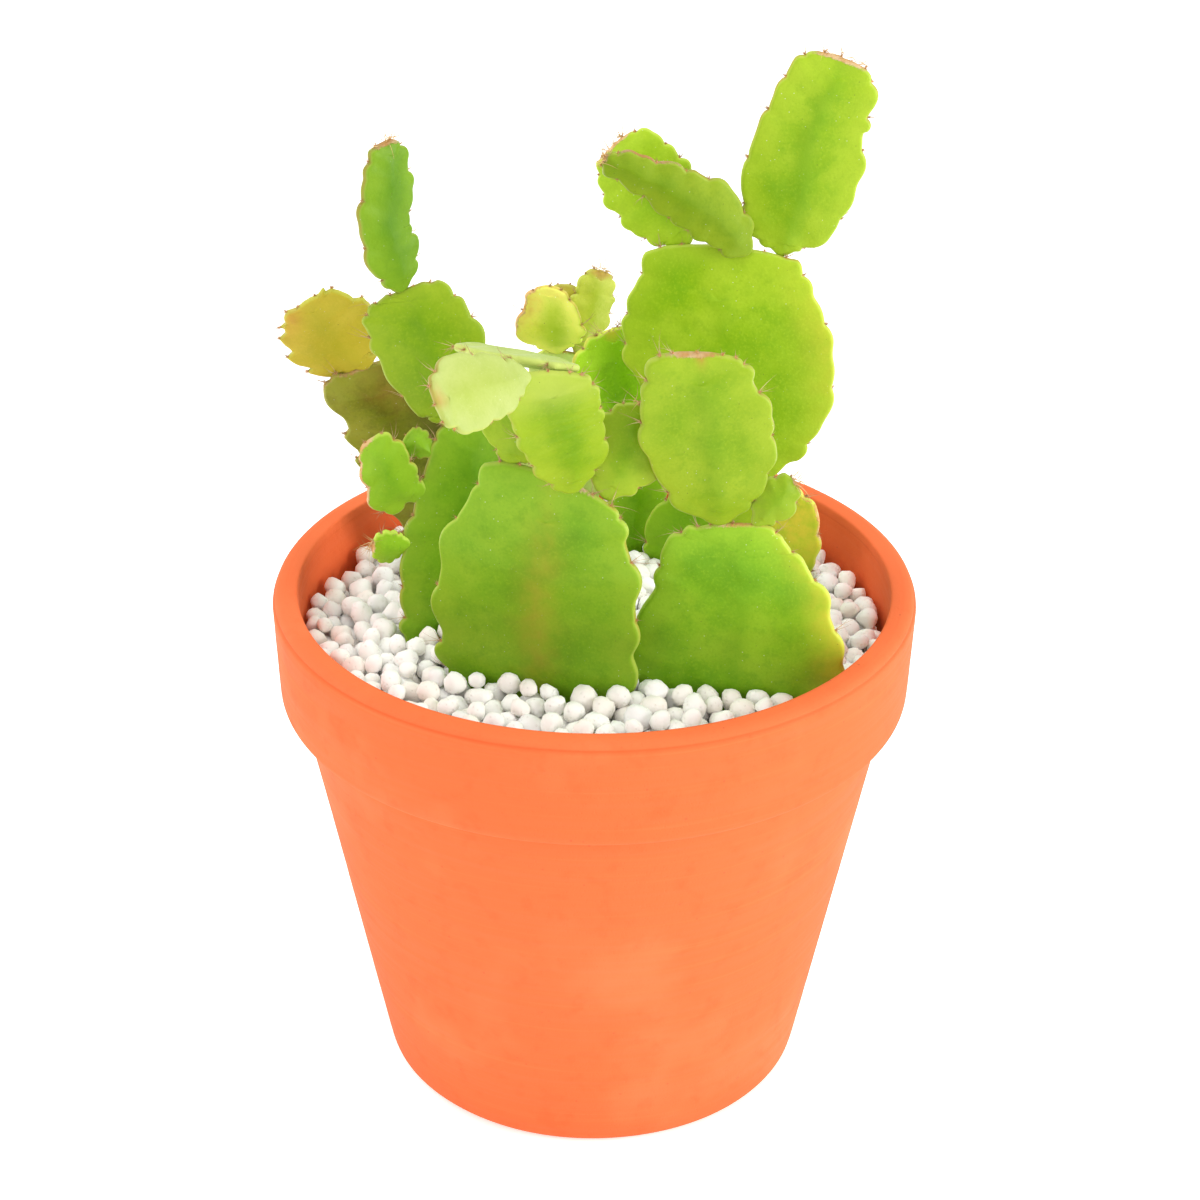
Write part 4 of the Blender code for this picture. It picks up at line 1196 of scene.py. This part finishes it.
def pebble_tree():
    """Lumpy stones on loose points, each sized by its point and turned at random."""
    name = "pebbles"
    if name in bpy.data.node_groups:
        return bpy.data.node_groups[name]
    tree, given, result = new_group(
        name, "GeometryNodeTree",
        [
            ("Points", "NodeSocketGeometry", None),
            ("Flattest", "NodeSocketFloat", 0.82),
            ("Lumps", "NodeSocketFloat", 0.4 * MM),
            ("Lump Scale", "NodeSocketFloat", 330.0),
            ("Seed", "NodeSocketInt", 1),
            ("Finish", "NodeSocketMaterial", None),
        ],
        [("Stones", "NodeSocketGeometry")],
    )
    cube = add(
        tree, "GeometryNodeMeshCube",
        {"Size": (1, 1, 1), "Vertices X": 4, "Vertices Y": 4, "Vertices Z": 4},
    )
    place = add(tree, "GeometryNodeInputPosition").outputs[0]
    unit = add(tree, "ShaderNodeVectorMath", {0: place}, operation="NORMALIZE").outputs[0]
    ball = add(tree, "ShaderNodeVectorMath", {0: unit, 1: (0.5, 0.5, 0.5)}, operation="MULTIPLY").outputs[0]
    rounded = add(tree, "GeometryNodeSetPosition", {"Geometry": cube.outputs["Mesh"], "Position": ball})
    size = add(tree, "GeometryNodeInputNamedAttribute", {"Name": "size"}, data_type="FLOAT").outputs[0]
    stretch = add(tree, "FunctionNodeRandomValue", data_type="FLOAT_VECTOR")
    low = add(tree, "ShaderNodeCombineXYZ", {axis: given["Flattest"] for axis in range(3)})
    tree.links.new(low.outputs[0], stretch.inputs[0])
    stretch.inputs[1].default_value = (1.08, 1.08, 1.08)
    tree.links.new(given["Seed"], stretch.inputs["Seed"])
    scale = add(
        tree, "ShaderNodeVectorMath", {0: stretch.outputs[0], "Scale": size}, operation="SCALE",
    ).outputs[0]
    turn = add(tree, "FunctionNodeRandomValue", data_type="FLOAT_VECTOR")
    turn.inputs[1].default_value = (2 * math.pi,) * 3
    tree.links.new(maths(tree, "ADD", given["Seed"], 5.0), turn.inputs["Seed"])
    placed = add(tree, "GeometryNodeInstanceOnPoints", {
        "Points": given["Points"], "Instance": rounded.outputs[0],
        "Rotation": add(tree, "FunctionNodeEulerToRotation", {0: turn.outputs[0]}).outputs[0],
        "Scale": scale,
    })
    tone = add(tree, "FunctionNodeRandomValue", data_type="FLOAT")
    tree.links.new(maths(tree, "ADD", given["Seed"], 9.0), tone.inputs["Seed"])
    toned = add(
        tree, "GeometryNodeStoreNamedAttribute",
        {"Geometry": placed.outputs[0], "Name": "tone", "Value": tone.outputs[1]},
        data_type="FLOAT", domain="INSTANCE",
    )
    real = add(tree, "GeometryNodeRealizeInstances", {0: toned.outputs[0]})
    lumps = add(tree, "ShaderNodeTexNoise", {"Vector": place, "Scale": given["Lump Scale"], "Detail": 2.0})
    centred = add(
        tree, "ShaderNodeVectorMath",
        {0: lumps.outputs["Color"], 1: (0.5, 0.5, 0.5)}, operation="SUBTRACT",
    )
    reach = maths(tree, "MULTIPLY", given["Lumps"], 2.0)
    offset = add(
        tree, "ShaderNodeVectorMath",
        {0: centred.outputs[0], "Scale": reach}, operation="SCALE",
    )
    lumpy = add(tree, "GeometryNodeSetPosition", {"Geometry": real.outputs[0], "Offset": offset.outputs[0]})
    smooth = add(tree, "GeometryNodeSetShadeSmooth", {"Geometry": lumpy.outputs[0]})
    finish = add(
        tree, "GeometryNodeSetMaterial",
        {"Geometry": smooth.outputs[0], "Material": given["Finish"]},
    )
    tree.links.new(finish.outputs[0], result["Stones"])
    return tree


def grown_mesh(name, tree, values, points, painting):
    """Runs a tree over loose points, and gives what it makes as a plain mesh."""
    cloud = bpy.data.meshes.new(name + "_points")
    cloud.from_pydata([tuple(point) for point in points], [], [])
    for key, data in painting.items():
        data = np.asarray(data, np.float32)
        kind, field = ("FLOAT", "value") if data.ndim == 1 else ("FLOAT_VECTOR", "vector")
        layer = cloud.attributes.new(key, kind, "POINT")
        layer.data.foreach_set(field, data.ravel())
    holder = bpy.data.objects.new(name + "_holder", cloud)
    bpy.context.scene.collection.objects.link(holder)
    modifier = holder.modifiers.new("grow", "NODES")
    modifier.node_group = tree
    sockets = {item.name: item.identifier for item in tree.interface.items_tree if item.in_out == "INPUT"}
    for key, value in values.items():
        modifier[sockets[key]] = value
    holder.update_tag()
    graph = bpy.context.evaluated_depsgraph_get()
    made = bpy.data.meshes.new_from_object(holder.evaluated_get(graph))
    made.name = name
    bpy.data.objects.remove(holder)
    bpy.data.meshes.remove(cloud)
    if not made.polygons:
        raise RuntimeError(name + " grew nothing")
    return made


# ---------------------------------------------------------------- pebbles

def inner_radius(height):
    """The pot's inner radius at a height, read from its outline."""
    profile = pot_profile()
    crossings = []
    for start, end in zip(profile, np.roll(profile, -1, axis=0)):
        low, high = sorted((start[1], end[1]))
        if low <= height <= high and high > low:
            share = (height - start[1]) / (end[1] - start[1])
            crossings.append(start[0] + (end[0] - start[0]) * share)
    return min(crossings)


def settled(settings, radii, wall, floor_height, ceiling, obstacle):
    """Drops pebbles one by one, each into the lowest free place of several that are tried."""
    chance = np.random.default_rng(settings.seed)
    centres = np.zeros((len(radii), 3))
    sizes = np.zeros(len(radii))
    count = 0
    for radius in radii:
        tries = 200
        spread = (wall - radius) * np.sqrt(chance.random(tries))
        angle = chance.random(tries) * 2 * math.pi
        x, y = spread * np.cos(angle), spread * np.sin(angle)
        z = np.full(tries, floor_height + radius)
        if count:
            near = centres[:count]
            flat = (x[:, None] - near[:, 0]) ** 2 + (y[:, None] - near[:, 1]) ** 2
            reach = (0.87 * (radius + sizes[:count])) ** 2
            over = np.where(flat < reach, near[:, 2] + np.sqrt(np.maximum(reach - flat, 0.0)), -1.0)
            z = np.maximum(z, over.max(axis=1))
        for index in np.argsort(z):
            mound = 1.0 - (x[index] ** 2 + y[index] ** 2) / wall ** 2
            if z[index] + radius > ceiling + settings.mound * mound:
                continue
            spot = Vector((x[index], y[index], z[index]))
            nearest, outward, _, away = obstacle.find_nearest(spot)
            if away > radius * 0.86 and outward.dot(spot - nearest) > 0:
                break
        else:
            index = None
        if index is None:
            continue
        centres[count] = spot
        sizes[count] = radius
        count += 1
    return centres[:count], sizes[:count]


def joined_tree(pieces):
    """One search tree over several pieces."""
    points, faces = [], []
    for piece in pieces:
        start = len(points)
        points += [v.co.copy() for v in piece.data.vertices]
        faces += [[start + index for index in face.vertices] for face in piece.data.polygons]
    return BVHTree.FromPolygons(points, faces)


def earth_bed(radius, bottom, top, clods):
    """A round bed of earth with an uneven top."""
    rings, steps = 34, 120
    points = [(0.0, 0.0, top)]
    for ring in range(1, rings + 1):
        for step in range(steps):
            angle = 2 * math.pi * step / steps
            reach = radius * ring / rings
            x, y = reach * math.cos(angle), reach * math.sin(angle)
            lump = noise.fractal(Vector((x, y, 0.3)) * 420, 0.8, 2.0, 4)
            points.append((x, y, top + clods * lump))
    points += [(x, y, bottom) for x, y, _ in points[-steps:]]
    points.append((0.0, 0.0, bottom))
    faces = [(0, 1 + step, 1 + (step + 1) % steps) for step in range(steps)]
    for ring in range(rings):
        for step in range(steps):
            near, far = 1 + ring * steps, 1 + (ring + 1) * steps
            after = (step + 1) % steps
            faces.append((near + step, far + step, far + after, near + after))
    last = 1 + rings * steps
    faces += [(last + (step + 1) % steps, last + step, len(points) - 1) for step in range(steps)]
    return closed_mesh("bed_earth", points, faces)


# ---------------------------------------------------------------- operators

class CACTUS_OT_pot(bpy.types.Operator):
    """Turns the clay pot"""
    bl_idname = "cactus.pot"
    bl_label = "Clay Pot"

    def execute(self, context):
        settings = context.scene.cactus_pot
        new_piece("clay_pot", turned_clay(settings), clay_material(), "fired_clay", "pot")
        return {"FINISHED"}


class CACTUS_OT_pads(bpy.types.Operator):
    """Grows the flesh of every pad"""
    bl_idname = "cactus.pads"
    bl_label = "Pads"

    def execute(self, context):
        for name, (parent, slot, marks) in PADS.items():
            plan = PadPlan(name, parent)
            PLANS[name] = plan
            new_piece(name + "_flesh", pad_surface(plan, marks), pad_material(slot), slot, name)
        return {"FINISHED"}


class CACTUS_OT_pebbles(bpy.types.Operator):
    """Lays the earth and settles the pebbles round the pads"""
    bl_idname = "cactus.pebbles"
    bl_label = "Pebbles"

    def execute(self, context):
        settings = context.scene.cactus_pebbles
        earth = earth_material()
        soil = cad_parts["soil"]
        soil.data.materials.clear()
        soil.data.materials.append(earth)
        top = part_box("pebble_bed")[1].z
        wall = inner_radius(top)
        base = top - settings.depth
        bed = earth_bed(inner_radius(base) - 0.1 * MM, base - 1.2 * MM, base + 0.6 * MM, 0.5 * MM)
        new_piece("bed_earth", bed, earth, "potting_soil")

        chance = np.random.default_rng(settings.seed + 1)
        share = np.concatenate([chance.beta(2.2, 2.0, MIXED_STONES), np.linspace(0.8, 0.1, FILLER_STONES)])
        radii = settings.smallest + (settings.largest - settings.smallest) * share
        pads = [bpy.data.objects[name + "_flesh"] for name in PADS if PADS[name][0] is None]
        centres, sizes = settled(
            settings, radii / 2, wall - 0.1 * MM, base, top + settings.proud, joined_tree(pads),
        )
        stones = grown_mesh(
            "white_pebbles", pebble_tree(),
            {"Lumps": settings.lumps, "Seed": settings.seed, "Finish": stone_material()},
            centres, {"size": sizes * 2},
        )
        new_piece("white_pebbles", stones, None, "white_pebble", "pebble_bed")
        return {"FINISHED"}


class CACTUS_OT_tufts(bpy.types.Operator):
    """Sets wool and spines in the notches of every pad"""
    bl_idname = "cactus.tufts"
    bl_label = "Wool and Spines"

    def execute(self, context):
        settings = context.scene.cactus_tufts
        found = [areole for plan in PLANS.values() for areole in pad_areoles(plan)]
        points = [point for point, _, _, _ in found]
        aims = np.array([aim for _, aim, _, _ in found])
        sizes = np.array([size for _, _, size, _ in found])
        wool = fibre_material("wool_fibre", settings.wool, settings.brown)
        spine = fibre_material("spine_horn", settings.straw, settings.brown)
        scar = fibre_material("areole_scar", settings.core, settings.brown)
        pieces = {
            "areole_wool": ({
                "Count": settings.wool_count, "Length": settings.wool_length,
                "Radius": 0.05 * MM, "Spread": 1.0, "Bend": 0.5, "Scatter": 0.16 * MM,
                "Seed": 3, "Finish": wool,
            }, points, aims, sizes),
            "areole_scars": ({
                "Count": 2, "Length": 0.55 * MM, "Radius": 0.14 * MM, "Spread": 0.35,
                "Bend": 0.1, "Scatter": 0.10 * MM, "Sides": 6, "Seed": 5, "Finish": scar,
            }, points, aims, sizes),
            "short_spines": ({
                "Count": 2, "Length": settings.spine_length * 0.42,
                "Radius": settings.spine_width * 0.8, "Spread": 0.8, "Bend": 0.25,
                "Sides": 5, "Segments": 3, "Seed": 7, "Finish": spine,
            }, points, aims, sizes),
        }
        chance = np.random.default_rng(17)
        long_ones = [index for index in range(len(found)) if chance.random() < 0.42]
        pieces["long_spines"] = ({
            "Count": 3, "Length": settings.spine_length, "Radius": settings.spine_width,
            "Spread": 0.55, "Bend": 0.3, "Sides": 5, "Segments": 4, "Seed": 11, "Finish": spine,
        }, [points[index] for index in long_ones], aims[long_ones], sizes[long_ones])
        tips = [plan for plan in PLANS.values() if plan.name in DRY_TIPS]
        ends = [(plan, index) for plan in tips for index in plan.tip_points + [plan.tip_points[0] + 3]]
        places = [
            Vector(plan.place(plan.outline[index][None], np.zeros(1))[0]) for plan, index in ends
        ]
        aims_dry = np.array([
            plan.along * 0.5 + plan.out * chance.uniform(-1.2, 1.2) + plan.facing * 0.5
            for plan, _ in ends
        ])
        pieces["dry_fibres"] = ({
            "Count": 4, "Length": 3.0 * MM, "Radius": 0.08 * MM, "Spread": 0.7, "Bend": 0.5,
            "Scatter": 0.5 * MM, "Segments": 6, "Seed": 13,
            "Finish": fibre_material("dry_fibre", (0.72, 0.50, 0.22), (0.55, 0.30, 0.10)),
        }, places, aims_dry, np.ones(len(ends)))
        for name, (values, places, directions, scales) in pieces.items():
            mesh = grown_mesh(name, tuft_tree(), values, places, {"aim": directions, "size": scales})
            new_piece(name, mesh, None, "areole_wool")
        return {"FINISHED"}


class CACTUS_OT_stage(bpy.types.Operator):
    """Lays the floor, hangs the lights and sets up the camera"""
    bl_idname = "cactus.stage"
    bl_label = "Stage"

    def execute(self, context):
        settings = context.scene.cactus_stage
        mesh = bpy.data.meshes.new("floor")
        mesh.from_pydata([(-6, -6, 0), (6, -6, 0), (6, 6, 0), (-6, 6, 0)], [], [(0, 1, 2, 3)])
        made, tree, shader = new_material("floor_paint")
        paint = clouds(tree, object_place(tree), 3.0, 2.0)
        light = tuple(min(1.0, value * 1.03) for value in settings.floor)
        tree.links.new(blended(tree, paint, rgba(settings.floor), rgba(light)), shader.inputs["Base Color"])
        shader.inputs["Roughness"].default_value = 0.9
        shader.inputs["Specular IOR Level"].default_value = 0.1
        shader.inputs["Emission Color"].default_value = rgba((1.0, 1.0, 1.0))
        shader.inputs["Emission Strength"].default_value = settings.glow
        mesh.materials.append(made)
        floor = bpy.data.objects.new("floor", mesh)
        context.scene.collection.objects.link(floor)

        world = bpy.data.worlds.new("studio")
        world.use_nodes = True
        sky = world.node_tree.nodes["Background"]
        sky.inputs["Color"].default_value = rgba((1.0, 1.0, 1.0))
        sky.inputs["Strength"].default_value = settings.sky
        context.scene.world = world
        middle = Vector((0.0, 0.0, 0.09))
        for name, place, size, power in LIGHTS:
            lamp = bpy.data.lights.new(name, "AREA")
            lamp.shape = "DISK"
            lamp.size = size
            lamp.energy = power
            holder = bpy.data.objects.new(name, lamp)
            holder.location = place
            holder.rotation_euler = (middle - Vector(place)).to_track_quat("-Z", "Y").to_euler()
            context.scene.collection.objects.link(holder)

        camera = bpy.data.cameras.new("camera")
        camera.sensor_width = 36.0
        camera.lens = settings.lens
        camera.clip_start = 0.01
        holder = bpy.data.objects.new("camera", camera)
        level = Matrix.Rotation(math.pi / 2 - settings.camera_pitch, 4, "X")
        roll = Matrix.Rotation(settings.camera_roll, 4, "Z")
        holder.matrix_world = Matrix.Translation(settings.camera_place) @ level @ roll
        context.scene.collection.objects.link(holder)
        context.scene.camera = holder
        context.scene.view_settings.view_transform = "Standard"
        return {"FINISHED"}


# Name, place, diameter and power of each lamp.
LIGHTS = [
    ("key", (0.98, -0.30, 0.34), 0.60, 7.5),
    ("fill", (-0.75, -0.50, 0.60), 0.80, 2.8),
    ("top", (0.10, -0.05, 1.10), 0.50, 3.2),
    ("back", (-0.65, 0.50, 0.75), 0.70, 3.0),
]
PLANS = {}

OPERATORS = (
    CACTUS_OT_pot, CACTUS_OT_pads, CACTUS_OT_pebbles, CACTUS_OT_tufts, CACTUS_OT_stage,
)


class CACTUS_PT_panel(bpy.types.Panel):
    """Lists the steps that make the potted cactus"""
    bl_idname = "CACTUS_PT_panel"
    bl_label = "Potted Paddle Cactus"
    bl_space_type = "VIEW_3D"
    bl_region_type = "UI"
    bl_category = "Cactus"

    def draw(self, context):
        for operator in OPERATORS:
            self.layout.operator(operator.bl_idname)
        for name, group in SETTINGS.items():
            box = self.layout.box()
            for key in group.__annotations__:
                box.prop(getattr(context.scene, name), key)


def register():
    for name, group in SETTINGS.items():
        bpy.utils.register_class(group)
        setattr(bpy.types.Scene, name, bpy.props.PointerProperty(type=group))
    for made in (*OPERATORS, CACTUS_PT_panel):
        bpy.utils.register_class(made)


def unregister():
    for made in reversed((*OPERATORS, CACTUS_PT_panel)):
        bpy.utils.unregister_class(made)
    for name, group in SETTINGS.items():
        delattr(bpy.types.Scene, name)
        bpy.utils.unregister_class(group)


def main():
    for name in ("Cube", "Light", "Camera"):
        if name in bpy.data.objects:
            bpy.data.objects.remove(bpy.data.objects[name])
    register()
    bpy.ops.cactus.pot()
    bpy.ops.cactus.pads()
    bpy.ops.cactus.pebbles()
    bpy.ops.cactus.tufts()
    bpy.ops.cactus.stage()


if __name__ == "__main__":
    main()
